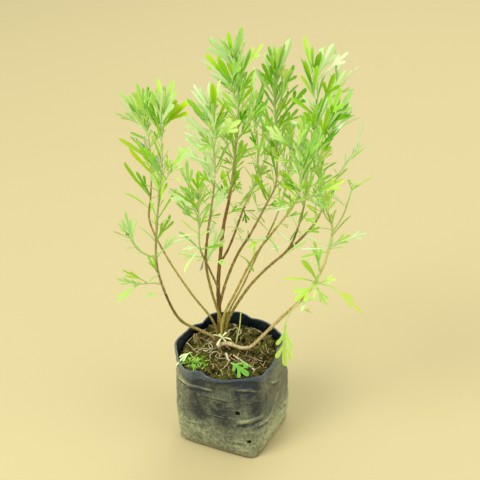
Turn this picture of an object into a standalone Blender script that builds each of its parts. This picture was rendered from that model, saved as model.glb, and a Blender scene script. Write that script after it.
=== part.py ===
"""Young potted lavender in a black polythene nursery bag.

Lengths are in millimetres until MM turns them into metres. +Z is up, the origin is the middle
of the bag's flat base on the ground, and the photograph looks along +Y.
"""

import math
import random

import bmesh
import bpy
from mathutils import Matrix, Vector, noise
from mathutils.bvhtree import BVHTree

MM = 0.001
SEAT_GAP = 0.3  # left between pieces that touch
WELD = 0.00001

# Nursery bag: a rounded square in plan below, pulled nearly round at its slack rim
FILM = 0.8
BAG_SIDES = 32
BAG_TURN = math.radians(-25)
BASE_HALF, BELLY_HALF, RIM_HALF = 52, 57, 57
BASE_SQUARENESS, RIM_SQUARENESS = 6.0, 2.5
BELLY_SHARE = 0.45
FOOT_ROUND = 3
RIM_HEIGHT, RIM_TILT = 118, 12
RIM_FLATTENING = 0.13
RIM_LEAN = Vector((-4, -4))
BAG_RINGS = (0, 0.03, 0.14, 0.4, 0.68, 0.88, 1)
HOLE_RADIUS, HOLE_SIDES = 2.5, 8
HOLE_ROWS = ((26, 0), (64, -10))
HOLES_IN_ROW = 3
HOLE_CUT = 10
FIRST_HOLE = math.radians(-74)

# Soil: fills the bag, higher at the back, with lumps on top
SOIL_GAP = 1.7
SOIL_FLOOR = 1.2
SOIL_HEIGHT, SOIL_SLOPE = 109.5, 0.14
LUMP_HEIGHT, LUMP_SIZE = 2.6, 17
SOIL_RINGS = (0, 0.04, 0.5, 1)
SOIL_TOP_RINGS = (0.86, 0.62, 0.38, 0.15)

# Crown: the oval rootstock that stands in the soil and carries every stem
CROWN_PLACE = Vector((-17, 12))
CROWN_HALF_WIDTH, CROWN_HALF_DEPTH = 9, 15
CROWN_TOP, CROWN_FOOT = 113.5, 80
CROWN_FOOT_SHARE = 0.7
CROWN_HOLE_RISE = 6
CROWN_SIDES = 18

# Stems: route points, radius at foot and tip, and the point at which the leaves begin
STEMS = {
    "centre": {
        "route": [(-17, 17, 104), (-17, 18, 150), (-18, 15, 189), (-15, 13, 230), (-11, 10, 270),
                  (-5, 6, 303), (0, 3, 340), (4, 1, 385), (5, -1, 425), (2, -5, 470)],
        "radius": (2.6, 0.8), "leafy": 5, "leaves": 17, "twigs": 4,
    },
    "left": {
        "route": [(-18, 12, 104), (-24, 12, 119), (-39, 7, 132), (-62, -2, 153), (-77, -11, 194),
                  (-85, -19, 240), (-82, -24, 295), (-75, -30, 360), (-74, -33, 404),
                  (-74, -35, 428)],
        "radius": (1.9, 0.8), "leafy": 4, "leaves": 15, "twigs": 1,
    },
    "left_back": {
        "route": [(-18, 20, 104), (-24, 25, 132), (-51, 32, 169), (-78, 41, 212), (-96, 48, 253),
                  (-94, 50, 285), (-92, 53, 323), (-95, 57, 360), (-99, 60, 382)],
        "radius": (1.4, 0.7), "leafy": 5, "leaves": 10, "twigs": 1,
    },
    "front_left": {
        "route": [(-16, 11, 104), (-15, 16, 136), (-25, 5, 185), (-31, -5, 230), (-28, -16, 274),
                  (-23, -25, 313), (-19, -36, 358), (-21, -44, 398), (-21, -50, 432)],
        "radius": (1.7, 0.8), "leafy": 4, "leaves": 15, "twigs": 2,
    },
    "low_front_left": {
        "route": [(-18, 15, 185), (-31, -2, 230), (-37, -17, 257), (-37, -31, 298),
                  (-36, -48, 335)],
        "radius": (1.2, 0.7), "leafy": 2, "leaves": 9, "twigs": 1,
    },
    "inner_back": {
        "route": [(-15, 13, 220), (-6, 18, 235), (3, 27, 256), (12, 37, 279), (22, 43, 300),
                  (27, 51, 326), (25, 61, 364), (20, 68, 392)],
        "radius": (1.3, 0.7), "leafy": 3, "leaves": 10, "twigs": 2,
    },
    "centre_right": {
        "route": [(-17, 17, 158), (-9, 15, 193), (4, 18, 227), (18, 19, 252), (37, 22, 291),
                  (47, 23, 318), (46, 25, 370), (44, 27, 414), (45, 28, 442)],
        "radius": (1.6, 0.8), "leafy": 3, "leaves": 13, "twigs": 3,
    },
    "front_right": {
        "route": [(-15, 10, 104), (-12, 10, 148), (3, -2, 192), (22, -19, 245), (45, -37, 291),
                  (62, -50, 324), (69, -60, 352), (70, -68, 380)],
        "radius": (1.6, 0.8), "leafy": 4, "leaves": 10, "twigs": 2,
    },
    "back_right": {
        "route": [(-15, 19, 104), (-8, 24, 141), (11, 36, 177), (28, 50, 211), (46, 61, 245),
                  (59, 72, 282), (64, 82, 318), (64, 88, 350)],
        "radius": (1.3, 0.7), "leafy": 4, "leaves": 9, "twigs": 1,
    },
    "upper_right": {
        "route": [(-13, 15, 104), (-7, 19, 138), (14, 14, 182), (36, 8, 214), (60, 0, 244),
                  (70, -11, 277), (76, -22, 315), (77, -33, 358), (74, -41, 392)],
        "radius": (1.8, 0.7), "leafy": 5, "leaves": 11, "twigs": 2,
    },
    "outer_right": {
        "route": [(59, 0, 243), (74, 4, 255), (92, 13, 274), (104, 21, 300), (118, 28, 328),
                  (134, 35, 350)],
        "radius": (1.4, 0.7), "leafy": 2, "leaves": 4, "twigs": 0,
    },
    "far_right": {
        "route": [(-17, 4, 106), (-17, 0, 115), (-11, -4, 121.5), (-2, -7, 121.5), (9, -9, 118.5),
                  (20, -11, 122), (36, -15, 143), (55, -19, 168), (79, -25, 199), (96, -28, 233),
                  (105, -23, 264), (107, -19, 283), (98, -15, 310), (91, -11, 345), (88, -7, 395),
                  (84, -3, 430), (82, 0, 455)],
        "radius": (2.4, 0.8), "leafy": 8, "leaves": 14, "twigs": 2,
    },
}

SILVER_STEMS = ("front_left", "outer_right")

# Side stems, by the leafy stem that they leave: the route and the number of leaves
SIDE_STEMS = {
    "left": [
        {"route": [(-86, -20, 245), (-98, -27, 255), (-106, -35, 268), (-111, -42, 284)],
         "leaves": 3},
        {"route": [(-80, -13, 207), (-90, -22, 214), (-98, -32, 219), (-106, -40, 224)],
         "leaves": 2},
    ],
    "far_right": [
        {"route": [(106, -22, 276), (116, -33, 303), (121, -44, 330), (123, -52, 350)],
         "leaves": 2},
        {"route": [(87, -5, 408), (99, 6, 417), (107, 17, 427), (110, 27, 440)],
         "leaves": 5},
    ],
}

STEM_STEP, SIDE_STEP = 25, 16
WOOD_ROUND, GREEN_ROUND = 1, 0
TRACE_PARTS = 12  # fine parts between two route points, for measuring along the curve
AIM = 0.02  # how far to each side of a place its direction is read
STEEP = 0.9
SIDE_RADIUS = (1.0, 0.6)
TWIG_RADIUS = (0.85, 0.6)
TWIG_LENGTH = (26, 42)
TWIG_LEAN = math.radians(30)
TWIG_LEAVES = 3
TWIG_STRETCH = (0.25, 0.8)
TWIG_BEND = 0.1

# Leaves: half outlines from foot to tip, across and along, as shares of the leaf's length
SIMPLE = ((0.032, 0), (0.078, 0.76), (0.036, 1))
THREE_LOBED = ((0.026, 0), (0.046, 0.37), (0.245, 0.74), (0.170, 0.85), (0.048, 0.54),
               (0.068, 0.86), (0.034, 1))
FIVE_LOBED = ((0.022, 0), (0.043, 0.20), (0.225, 0.43), (0.160, 0.52), (0.047, 0.34),
              (0.051, 0.46), (0.260, 0.77), (0.185, 0.86), (0.051, 0.61), (0.069, 0.88),
              (0.034, 1))
BLADE = 0.7
LOBED_SHARE = 0.52
LEAF_LENGTH = (33, 44)
SMALL_LEAF = 0.75
GOLDEN_TURN = math.radians(137.5)
LOW_LEAN, TOP_LEAN = math.radians(48), math.radians(15)
LEAN_SPREAD = math.radians(9)
CROWDING = 0.72  # under 1 brings the leaves closer together towards the tip
FIRST_LEAF, FIRST_SIDE_LEAF = 0.15, 0.6
CURL = (-0.05, 0.16)
LOBE_LIFT = 0.15
CLEARANCE = 0.45
TURNS_TRIED = tuple(math.radians(turn) for turn in (0, 25, -25, 50, -50, 80, -80, 120))
SHRINKS_TRIED = (1, 0.75)

# Young yellow-green growth on the far right stem
YOUNG_CARRIER = "far_right"
YOUNG_RADIUS = (1.0, 0.8)
YOUNG_FACE = Vector((0, -0.5, 1))
YOUNG_AT, YOUNG_ROUTE = 8.5, [(90, -34, 220), (93, -39, 224)]
YOUNG_LEAVES = (
    {"at": 1.0, "towards": (-1, -0.3, -0.15), "length": 27},
    {"at": 1.6, "towards": (-0.5, -0.8, -0.9), "length": 30},
    {"at": 1.8, "towards": (1, -0.3, 0.05), "length": 42},
    {"at": 1.4, "towards": (0.4, -0.5, -0.9), "length": 28},
    {"at": 1.9, "towards": (0.3, -0.6, 0.8), "length": 24},
)
HANGING_AT, HANGING_ROUTE = 7.8, [(68, -34, 190), (61, -39, 183), (57, -42, 172), (56, -43, 160)]
HANGING_LEAF = {"at": 3.9, "towards": (-0.02, -0.05, -1), "length": 49}

# On the soil: a fallen leaf at the front and a weed seedling at the left
FALLEN_FOOT, FALLEN_TIP = Vector((-4, -26)), Vector((17, -46))
SEEDLING_PLACE = Vector((-44, -28))
SEEDLING_RADIUS, SEEDLING_DEPTH, SEEDLING_RISE = 0.9, 7, 5
SEEDLING_LEAVES = ((20, 16), (140, 13), (250, 15))
SEEDLING_LEAN = math.radians(58)

COLOURS = {
    "film": ((0.020, 0.023, 0.025), 0.45),
    "soil": ((0.060, 0.045, 0.026), 0.95),
    "bark": ((0.200, 0.110, 0.050), 0.80),
    "leaf": ((0.220, 0.420, 0.080), 0.60),
    "silver_leaf": ((0.400, 0.560, 0.280), 0.65),
    "young_leaf": ((0.480, 0.680, 0.070), 0.50),
}


# Scene, collections and materials

for old in list(bpy.data.objects):
    bpy.data.objects.remove(old)

part = bpy.data.collections.new("potted_lavender")
cutters = bpy.data.collections.new("cutters")
for collection in (part, cutters):
    bpy.context.scene.collection.children.link(collection)


def make_material(name, colour, roughness):
    material = bpy.data.materials.new(name)
    material.use_nodes = True
    shader = material.node_tree.nodes["Principled BSDF"]
    shader.inputs["Base Color"].default_value = (*colour, 1)
    shader.inputs["Roughness"].default_value = roughness
    material.diffuse_color = (*colour, 1)
    return material


MATERIALS = {name: make_material(name, *look) for name, look in COLOURS.items()}


def add_object(name, mesh, material=None, collection=part):
    """Turn a bmesh or a mesh in millimetres into an object in metres."""
    if isinstance(mesh, bmesh.types.BMesh):
        shape, mesh = mesh, bpy.data.meshes.new(name)
        shape.to_mesh(mesh)
        shape.free()
    mesh.transform(Matrix.Scale(MM, 4))
    if material:
        mesh.materials.clear()
        mesh.materials.append(MATERIALS[material])
    made = bpy.data.objects.new(name, mesh)
    collection.objects.link(made)
    return made


def add_cutter(name, shape):
    cutter = add_object(name, shape, collection=cutters)
    cutter.hide_render = True
    cutter.display_type = "WIRE"
    return cutter


def cut_away(body, cutter):
    cut = body.modifiers.new(cutter.name, "BOOLEAN")
    cut.operation = "DIFFERENCE"
    cut.object = cutter


def evaluated_mesh(thing):
    bpy.context.view_layer.update()
    return bpy.data.meshes.new_from_object(
        thing.evaluated_get(bpy.context.evaluated_depsgraph_get()))


# Nursery bag

def rim_height(angle):
    return RIM_HEIGHT + RIM_TILT * math.sin(angle)


def between(low, high, share):
    return low + (high - low) * share


def wall_place(angle, height, inset=0):
    """Where the bag's wall stands at an angle round it and a height, moved in by inset."""
    share = height / rim_height(angle)
    if share < BELLY_SHARE:
        half = between(BASE_HALF, BELLY_HALF, math.sin(share / BELLY_SHARE * math.pi / 2))
    else:
        half = between(BELLY_HALF, RIM_HALF, (share - BELLY_SHARE) / (1 - BELLY_SHARE))
    half -= FOOT_ROUND * max(0, 1 - height / FOOT_ROUND)
    power = between(BASE_SQUARENESS, RIM_SQUARENESS, share)
    across = abs(math.cos(angle - BAG_TURN)) ** power + abs(math.sin(angle - BAG_TURN)) ** power
    radius = half / across ** (1 / power) - inset
    return Vector((radius * math.cos(angle) + RIM_LEAN.x * share,
                   radius * math.sin(angle) * (1 - RIM_FLATTENING * share) + RIM_LEAN.y * share,
                   height))


def drum(levels):
    """A unit drum, closed below and open above, with a ring of corners at each level."""
    shape = bmesh.new()
    bmesh.ops.create_circle(shape, cap_ends=True, radius=1, segments=BAG_SIDES)
    rim = list(shape.edges)
    for low, high in zip(levels, levels[1:]):
        rim = grow_ring(shape, rim, 1, high - low)
    return shape, rim


def grow_ring(shape, rim, scale, rise):
    grown = bmesh.ops.extrude_edge_only(shape, edges=rim)["geom"]
    corners = {item for item in grown if isinstance(item, bmesh.types.BMVert)}
    bmesh.ops.scale(shape, vec=(scale, scale, 1), verts=list(corners))
    bmesh.ops.translate(shape, vec=(0, 0, rise), verts=list(corners))
    return [edge for edge in shape.edges if corners.issuperset(edge.verts)]


def make_bag():
    shape, _ = drum(BAG_RINGS)
    for corner in shape.verts:
        angle = math.atan2(corner.co.y, corner.co.x)
        corner.co = wall_place(angle, corner.co.z * rim_height(angle))
    bmesh.ops.recalc_face_normals(shape, faces=shape.faces[:])
    bag = add_object("grow_bag", shape, "film")
    wall = bag.modifiers.new("film", "SOLIDIFY")
    wall.thickness = FILM * MM
    wall.offset = -1
    wall.use_even_offset = True
    for row, (height, turn) in enumerate(HOLE_ROWS):
        for number in range(HOLES_IN_ROW):
            angle = FIRST_HOLE + math.radians(turn) + number * math.tau / HOLES_IN_ROW
            cut_away(bag, hole_cutter(f"drain_{row}_{number}", angle, height))
    return bag


def hole_cutter(name, angle, height):
    place = wall_place(angle, height)
    shape = bmesh.new()
    bmesh.ops.create_cone(
        shape, cap_ends=True, segments=HOLE_SIDES, radius1=HOLE_RADIUS, radius2=HOLE_RADIUS,
        depth=HOLE_CUT,
        matrix=Matrix.Translation(place) @ Matrix.Rotation(angle, 4, "Z")
        @ Matrix.Rotation(math.pi / 2, 4, "Y"))
    return add_cutter(name, shape)


# Soil and the holes that the plants stand in

def soil_height(x, y):
    lump = noise.noise(Vector((x, y, 0)) / LUMP_SIZE)
    return SOIL_HEIGHT + SOIL_SLOPE * y + LUMP_HEIGHT * lump


def oval_plug(grow=0, rise=0):
    """The crown's tapered oval, grown all round and carried on upwards for its hole."""
    foot, top = CROWN_FOOT - grow, CROWN_TOP + rise
    flare = (1 - CROWN_FOOT_SHARE) * rise / (CROWN_TOP - CROWN_FOOT)
    shape = bmesh.new()
    bmesh.ops.create_cone(
        shape, cap_ends=True, segments=CROWN_SIDES, radius1=CROWN_FOOT_SHARE,
        radius2=1 + flare, depth=top - foot,
        matrix=Matrix.Translation((0, 0, (top + foot) / 2)))
    for corner in shape.verts:
        corner.co.x = corner.co.x * (CROWN_HALF_WIDTH + grow) + CROWN_PLACE.x
        corner.co.y = corner.co.y * (CROWN_HALF_DEPTH + grow) + CROWN_PLACE.y
    return shape


def make_soil():
    shape, rim = drum(SOIL_RINGS)
    ring = 1
    for share in SOIL_TOP_RINGS:
        rim = grow_ring(shape, rim, share / ring, 0)
        ring = share
    bmesh.ops.edgeloop_fill(shape, edges=rim)
    for corner in shape.verts:
        angle = math.atan2(corner.co.y, corner.co.x)
        share = math.hypot(corner.co.x, corner.co.y)
        edge = wall_place(angle, SOIL_HEIGHT, SOIL_GAP)
        edge_top = soil_height(edge.x, edge.y)
        if share > SOIL_TOP_RINGS[0] + WELD:
            corner.co = wall_place(angle, between(SOIL_FLOOR, edge_top, corner.co.z), SOIL_GAP)
        else:
            middle = Vector((RIM_LEAN.x, RIM_LEAN.y, 0))
            corner.co = middle.lerp(edge, share)
            corner.co.z = soil_height(corner.co.x, corner.co.y)
    bmesh.ops.recalc_face_normals(shape, faces=shape.faces[:])
    soil = add_object("soil", shape, "soil")
    cut_away(soil, add_cutter("crown_hole", oval_plug(SEAT_GAP, CROWN_HOLE_RISE)))
    cut_away(soil, add_cutter("seedling_hole", seedling_plug(SEAT_GAP)))
    return soil


def seedling_plug(grow=0):
    """The seedling's stem from its foot in the soil, grown all round for its hole."""
    ground = soil_height(*SEEDLING_PLACE)
    foot, top = ground - SEEDLING_DEPTH - grow, ground + SEEDLING_RISE
    shape = bmesh.new()
    bmesh.ops.create_cone(
        shape, cap_ends=True, segments=HOLE_SIDES, radius1=SEEDLING_RADIUS + grow,
        radius2=SEEDLING_RADIUS + grow, depth=top - foot,
        matrix=Matrix.Translation((*SEEDLING_PLACE, (top + foot) / 2)))
    return shape


# Stems

def route_place(route, at):
    """Point of the smooth curve through a route, at counting its points from 0."""
    number = min(int(at), len(route) - 2)
    share = at - number
    before, start, end, after = (
        Vector(route[min(max(i, 0), len(route) - 1)]) for i in range(number - 1, number + 3))
    return 0.5 * (2 * start + (end - before) * share
                  + (2 * before - 5 * start + 4 * end - after) * share ** 2
                  + (3 * start - before - 3 * end + after) * share ** 3)


def trace(route, first, last, step):
    """Evenly spaced places along a route's curve, each with its place in the route."""
    fine = TRACE_PARTS * max(1, math.ceil(last - first))
    ats = [between(first, last, i / fine) for i in range(fine + 1)]
    places = [route_place(route, at) for at in ats]
    run = [0]
    for a, b in zip(places, places[1:]):
        run.append(run[-1] + (b - a).length)
    count = max(2, round(run[-1] / step))
    marks, i = [], 0
    for number in range(count + 1):
        goal = run[-1] * number / count
        while i < fine - 1 and run[i + 1] < goal:
            i += 1
        share = (goal - run[i]) / (run[i + 1] - run[i])
        at = between(ats[i], ats[i + 1], min(share, 1))
        marks.append((at, route_place(route, at)))
    return marks


def direction(route, at):
    last = len(route) - 1
    return (route_place(route, min(at + AIM, last))
            - route_place(route, max(at - AIM, 0))).normalized()


def tube(marks, radii, whole, roundness):
    """A tapering rod through the marks, as a closed mesh in millimetres."""
    line = bpy.data.curves.new("rod", "CURVE")
    line.dimensions = "3D"
    line.bevel_depth = 1
    line.bevel_resolution = roundness
    line.use_fill_caps = True
    spline = line.splines.new("POLY")
    spline.points.add(len(marks) - 1)
    for point, (at, place) in zip(spline.points, marks):
        point.co = (*place, 1)
        point.radius = between(*radii, at / whole)
    rod = bpy.data.objects.new("rod", line)
    bpy.context.scene.collection.objects.link(rod)
    mesh = evaluated_mesh(rod)
    bpy.data.objects.remove(rod)
    shape = bmesh.new()
    shape.from_mesh(mesh)
    bmesh.ops.remove_doubles(shape, verts=shape.verts[:], dist=WELD / MM)
    bmesh.ops.recalc_face_normals(shape, faces=shape.faces[:])
    return shape


def beside(axis, turn):
    """A direction square to an axis, turned round it."""
    side = axis.cross(Vector((0, 0, 1)) if abs(axis.z) < STEEP else Vector((0, 1, 0))).normalized()
    return Matrix.Rotation(turn, 3, axis) @ side


# Leaves

def leaf_shape(outline, length, curl, grow=0):
    """A bent blade: foot at the origin, tip along +Y, upper face up."""
    shape = bmesh.new()
    half = [(x * length + grow, y * length) for x, y in outline]
    corners = [shape.verts.new((x, y, 0)) for x, y in half]
    corners += [shape.verts.new((-x, y, 0)) for x, y in reversed(half)]
    shape.faces.new(corners)
    shape.normal_update()
    bmesh.ops.triangulate(shape, faces=shape.faces[:], ngon_method="BEAUTY")
    upper = list(shape.verts)
    bmesh.ops.extrude_face_region(shape, geom=shape.faces[:], use_keep_orig=True)
    for corner in upper:
        corner.co.z = BLADE / 2 + grow
    for corner in set(shape.verts).difference(upper):
        corner.co.z = -BLADE / 2 - grow
    for corner in shape.verts:
        share = corner.co.y / length
        corner.co.z += LOBE_LIFT * abs(corner.co.x) - curl * length * share ** 2
    bmesh.ops.recalc_face_normals(shape, faces=shape.faces[:])
    return shape


def leaf_frame(place, along, up):
    """Frame of a leaf that runs from a place along a direction, its face as near up as it can."""
    side = along.cross(up).normalized()
    face = side.cross(along)
    frame = Matrix((side, along, face)).transposed().to_4x4()
    frame.translation = place
    return frame


def leaf_rule(seed, route, first, last, count):
    """Leaves by turns round a stem: steep and short near the tip, leaning out below."""
    draw = random.Random(seed)
    turn = draw.uniform(0, math.tau)
    for number in range(count):
        share = (number + 0.5) / count
        at = between(first, last, share ** CROWDING)
        lean = between(LOW_LEAN, TOP_LEAN, share) + draw.uniform(-LEAN_SPREAD, LEAN_SPREAD)
        lobed = draw.random() < LOBED_SHARE
        length = draw.uniform(*LEAF_LENGTH) * (1 if lobed else SMALL_LEAF)
        yield {"place": route_place(route, at), "axis": direction(route, at), "turn": turn,
               "lean": lean, "length": length, "curl": draw.uniform(*CURL),
               "outline": THREE_LOBED if lobed else SIMPLE}
        turn += GOLDEN_TURN


def turned_leaf(leaf, extra_turn, shrink, grow):
    out = beside(leaf["axis"], leaf["turn"] + extra_turn)
    along = leaf["axis"] * math.cos(leaf["lean"]) + out * math.sin(leaf["lean"])
    up = leaf["axis"] * math.sin(leaf["lean"]) - out * math.cos(leaf["lean"])
    shape = leaf_shape(leaf["outline"], leaf["length"] * shrink, leaf["curl"], grow)
    shape.transform(leaf_frame(leaf["place"], along, up))
    return shape


def touches(shape, others):
    probe = BVHTree.FromBMesh(shape)
    return any(probe.overlap(other) for other in others)


def clear_leaf(leaf, others):
    """The leaf, turned or shortened until it is clear of the other stems, or None."""
    for shrink in SHRINKS_TRIED:
        for extra_turn in TURNS_TRIED:
            probe = turned_leaf(leaf, extra_turn, shrink, CLEARANCE)
            blocked = touches(probe, others)
            probe.free()
            if not blocked:
                return turned_leaf(leaf, extra_turn, shrink, 0)
    return None


def fuse(name, body, repeats, material):
    """One closed body from a stem and all that grows from it."""
    group = bpy.data.collections.new(name + "_repeats")
    bpy.context.scene.collection.children.link(group)
    for number, shape in enumerate(repeats):
        add_object(f"{name}_{number}", shape, collection=group)
    made = add_object(name, body, material)
    union = made.modifiers.new("union", "BOOLEAN")
    union.operation = "UNION"
    union.operand_type = "COLLECTION"
    union.collection = group
    union.solver = "MANIFOLD"
    made.data = evaluated_mesh(made)
    made.modifiers.clear()
    for repeat in list(group.objects):
        bpy.data.objects.remove(repeat)
    bpy.data.collections.remove(group)
    return made


def tree_of(shape):
    return BVHTree.FromBMesh(shape)


# Woody framework: the crown and the bare foot of every stem

def make_wood():
    rods = []
    for stem in STEMS.values():
        whole = len(stem["route"]) - 1
        marks = trace(stem["route"], 0, stem["leafy"], STEM_STEP)
        rods.append(tube(marks, stem["radius"], whole, WOOD_ROUND))
    return fuse("woody_crown", oval_plug(), rods, "bark")


# Leafy stems

def twig_routes(name, stem):
    """Short side twigs, by turns round the leafy stretch, each as a route of three points."""
    draw = random.Random(name + " twigs")
    turn = draw.uniform(0, math.tau)
    last = len(stem["route"]) - 1
    for number in range(stem["twigs"]):
        share = between(*TWIG_STRETCH, (number + 0.5) / stem["twigs"])
        at = between(stem["leafy"], last, share)
        axis = direction(stem["route"], at)
        out = beside(axis, turn + number * GOLDEN_TURN)
        along = axis * math.cos(TWIG_LEAN) + out * math.sin(TWIG_LEAN)
        start = route_place(stem["route"], at)
        reach = draw.uniform(*TWIG_LENGTH)
        yield [start, start + along * reach / 2, start + along.lerp(axis, TWIG_BEND) * reach]


def stem_rods(name, stem):
    """The leafy stretch's own rod, then its side stems and twigs with their routes."""
    route = stem["route"]
    whole = len(route) - 1
    first = stem["leafy"] + SEAT_GAP / (route_place(route, stem["leafy"] + 1)
                                        - route_place(route, stem["leafy"])).length
    body = tube(trace(route, first, whole, STEM_STEP), stem["radius"], whole, GREEN_ROUND)
    branches = []
    for side in SIDE_STEMS.get(name, ()):
        last = len(side["route"]) - 1
        rod = tube(trace(side["route"], 0, last, SIDE_STEP), SIDE_RADIUS, last, GREEN_ROUND)
        branches.append((rod, side["route"], side["leaves"]))
    for twig in twig_routes(name, stem):
        rod = tube([(0, twig[0]), (1, twig[1]), (2, twig[2])], TWIG_RADIUS, 2, GREEN_ROUND)
        branches.append((rod, twig, TWIG_LEAVES))
    return body, branches


def make_leafy_stems(fixed):
    """Every leafy stem, its leaves kept clear of the fixed trees and of the other stems."""
    rods = {name: stem_rods(name, stem) for name, stem in STEMS.items()}
    bare = {name: [tree_of(body)] + [tree_of(rod) for rod, _, _ in branches]
            for name, (body, branches) in rods.items()}
    leaves_of = {name: [] for name in STEMS}
    trees_of = {name: [] for name in STEMS}
    for name, stem in STEMS.items():
        body, branches = rods[name]
        others = list(fixed)
        for other in STEMS:
            if other != name:
                others += bare[other] + trees_of[other]
        stretches = [(stem["route"], stem["leafy"] + FIRST_LEAF, len(stem["route"]) - 1,
                      stem["leaves"])]
        stretches += [(route, FIRST_SIDE_LEAF, len(route) - 1, count) for _, route, count in branches]
        for number, (route, first, last, count) in enumerate(stretches):
            own = [tree for i, tree in enumerate(bare[name]) if i != number]
            for leaf in leaf_rule(f"{name} {number}", route, first, last, count):
                shape = clear_leaf(leaf, others + own + trees_of[name])
                if shape:
                    leaves_of[name].append(shape)
                    trees_of[name].append(tree_of(shape))
    made = []
    for name in STEMS:
        body, branches = rods[name]
        material = "silver_leaf" if name in SILVER_STEMS else "leaf"
        made.append(fuse(f"shoot_{name}", body, [rod for rod, _, _ in branches]
                         + leaves_of[name], material))
    return made


def make_young(name, at, route, leaves, outline):
    """Soft new growth: a green stalk with broad yellow-green leaves, seated on its carrier."""
    carrier = STEMS[YOUNG_CARRIER]
    centre = route_place(carrier["route"], at)
    thick = between(*carrier["radius"], at / (len(carrier["route"]) - 1))
    axis = direction(carrier["route"], at)
    out = Vector(route[0]) - centre
    out = (out - axis * out.dot(axis)).normalized()
    route = [centre + out * (thick + SEAT_GAP), *route]
    last = len(route) - 1
    body = tube(trace(route, 0, last, SIDE_STEP / 2), YOUNG_RADIUS, last, GREEN_ROUND)
    shapes = []
    for leaf in leaves:
        shape = leaf_shape(outline, leaf["length"], CURL[1])
        along = Vector(leaf["towards"]).normalized()
        shape.transform(leaf_frame(route_place(route, leaf["at"]), along, YOUNG_FACE))
        shapes.append(shape)
    return fuse(name, body, shapes, "young_leaf")


# On the soil

def make_fallen_leaf(ground):
    """A leaf that lies on the soil, lifted until its lowest corner just clears the lumps."""
    run = FALLEN_TIP - FALLEN_FOOT
    shape = leaf_shape(FIVE_LOBED, run.length, 0)
    rise = Vector((*run, SOIL_SLOPE * run.y)).normalized()
    frame = leaf_frame(Vector((*FALLEN_FOOT, 0)), rise, Vector((0, 0, 1)))
    shape.transform(frame)
    down = Vector((0, 0, -1))
    drop = min(ground.ray_cast(corner.co - down * RIM_HEIGHT, down)[3] for corner in shape.verts)
    bmesh.ops.translate(shape, vec=(0, 0, RIM_HEIGHT - drop + SEAT_GAP), verts=shape.verts[:])
    return add_object("fallen_leaf", shape, "young_leaf")


def make_seedling():
    body = seedling_plug()
    top = Vector((*SEEDLING_PLACE, soil_height(*SEEDLING_PLACE) + SEEDLING_RISE - BLADE))
    shapes = []
    for turn, length in SEEDLING_LEAVES:
        out = Vector((math.cos(math.radians(turn)), math.sin(math.radians(turn)), 0))
        along = out * math.sin(SEEDLING_LEAN) + Vector((0, 0, math.cos(SEEDLING_LEAN)))
        shape = leaf_shape(SIMPLE, length, CURL[1])
        shape.transform(leaf_frame(top, along, Vector((0, 0, 1))))
        shapes.append(shape)
    return fuse("weed_seedling", body, shapes, "young_leaf")


def tree_of_object(made):
    """The object's surface in millimetres, for keeping leaves clear of it."""
    shape = bmesh.new()
    shape.from_mesh(evaluated_mesh(made))
    shape.transform(Matrix.Scale(1 / MM, 4))
    return tree_of(shape)


bag = make_bag()
soil = make_soil()
wood = make_wood()
young = make_young("young_shoot", YOUNG_AT, YOUNG_ROUTE, YOUNG_LEAVES, THREE_LOBED)
hanging = make_young("hanging_leaf", HANGING_AT, HANGING_ROUTE, [HANGING_LEAF], FIVE_LOBED)
make_fallen_leaf(tree_of_object(soil))
make_seedling()
make_leafy_stems([tree_of_object(made) for made in (bag, soil, wood, young, hanging)])
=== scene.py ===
"""Young potted lavender in its black polythene nursery bag.

Sizes are in millimetres until add_piece turns a finished shape into metres, and in metres in the
finishes, the lights and the camera. +Z is up, and the origin is the middle of the bag's flat base.
"""

import math
import random

import bmesh
import bpy
from mathutils import Matrix, Vector, noise
from mathutils.bvhtree import BVHTree


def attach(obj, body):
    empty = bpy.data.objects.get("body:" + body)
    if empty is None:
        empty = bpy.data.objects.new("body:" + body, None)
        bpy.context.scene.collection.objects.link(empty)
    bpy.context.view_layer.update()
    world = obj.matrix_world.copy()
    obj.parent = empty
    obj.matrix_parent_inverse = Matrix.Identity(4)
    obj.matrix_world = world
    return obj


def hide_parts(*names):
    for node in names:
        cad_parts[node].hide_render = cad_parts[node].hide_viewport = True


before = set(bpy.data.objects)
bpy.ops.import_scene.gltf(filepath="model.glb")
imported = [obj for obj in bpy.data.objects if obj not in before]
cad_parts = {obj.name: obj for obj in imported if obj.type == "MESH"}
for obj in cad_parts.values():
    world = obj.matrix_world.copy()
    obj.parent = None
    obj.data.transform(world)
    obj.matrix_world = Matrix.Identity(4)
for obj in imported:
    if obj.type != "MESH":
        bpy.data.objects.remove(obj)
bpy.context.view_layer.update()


# The nursery bag
# Blown black polythene film, welded flat across its foot and filled with soil until it stands.
# The soil's weight has pulled sagging creases in it, and its slack cut rim has rolled outward.

MM = 0.001
FILM = 0.45
BAG_SIDES, BAG_RINGS = 256, 76
BAG_TURN = math.radians(-25)
BASE_HALF, BELLY_HALF, RIM_HALF = 52, 57, 57
BASE_SQUARENESS, RIM_SQUARENESS = 6.0, 2.5
BELLY_SHARE = 0.45
FOOT_ROUND = 3
RIM_HEIGHT, RIM_TILT = 118, 12
RIM_FLATTENING = 0.13
RIM_LEAN = Vector((-4, -4))
SLACK_SHARE = 0.84
RIM_WAVE, RIM_WAVE_RATE = 3.4, 1.9
RIM_RIPPLE, RIM_RIPPLE_RATE = 1.2, 3
RIM_DIPS = ((-150, 15, 6), (-42, 16, 3), (122, 7, 5))
DENT, DENT_SIZE, CRUMPLE, CRUMPLE_SIZE = 1.3, 34, 0.4, 9
UPRIGHT_WRINKLE, WRINKLE_WIDTH, WRINKLE_LENGTH = 0.5, 5, 45
TROUGH, TROUGH_PLACE = 0.8, 1.7
SMOOTH_FOOT, EAR_HEIGHT = 12, 8
ROLL_RADIUS, ROLL_RINGS, ROLLED = 0.9, 4, 1.2
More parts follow.
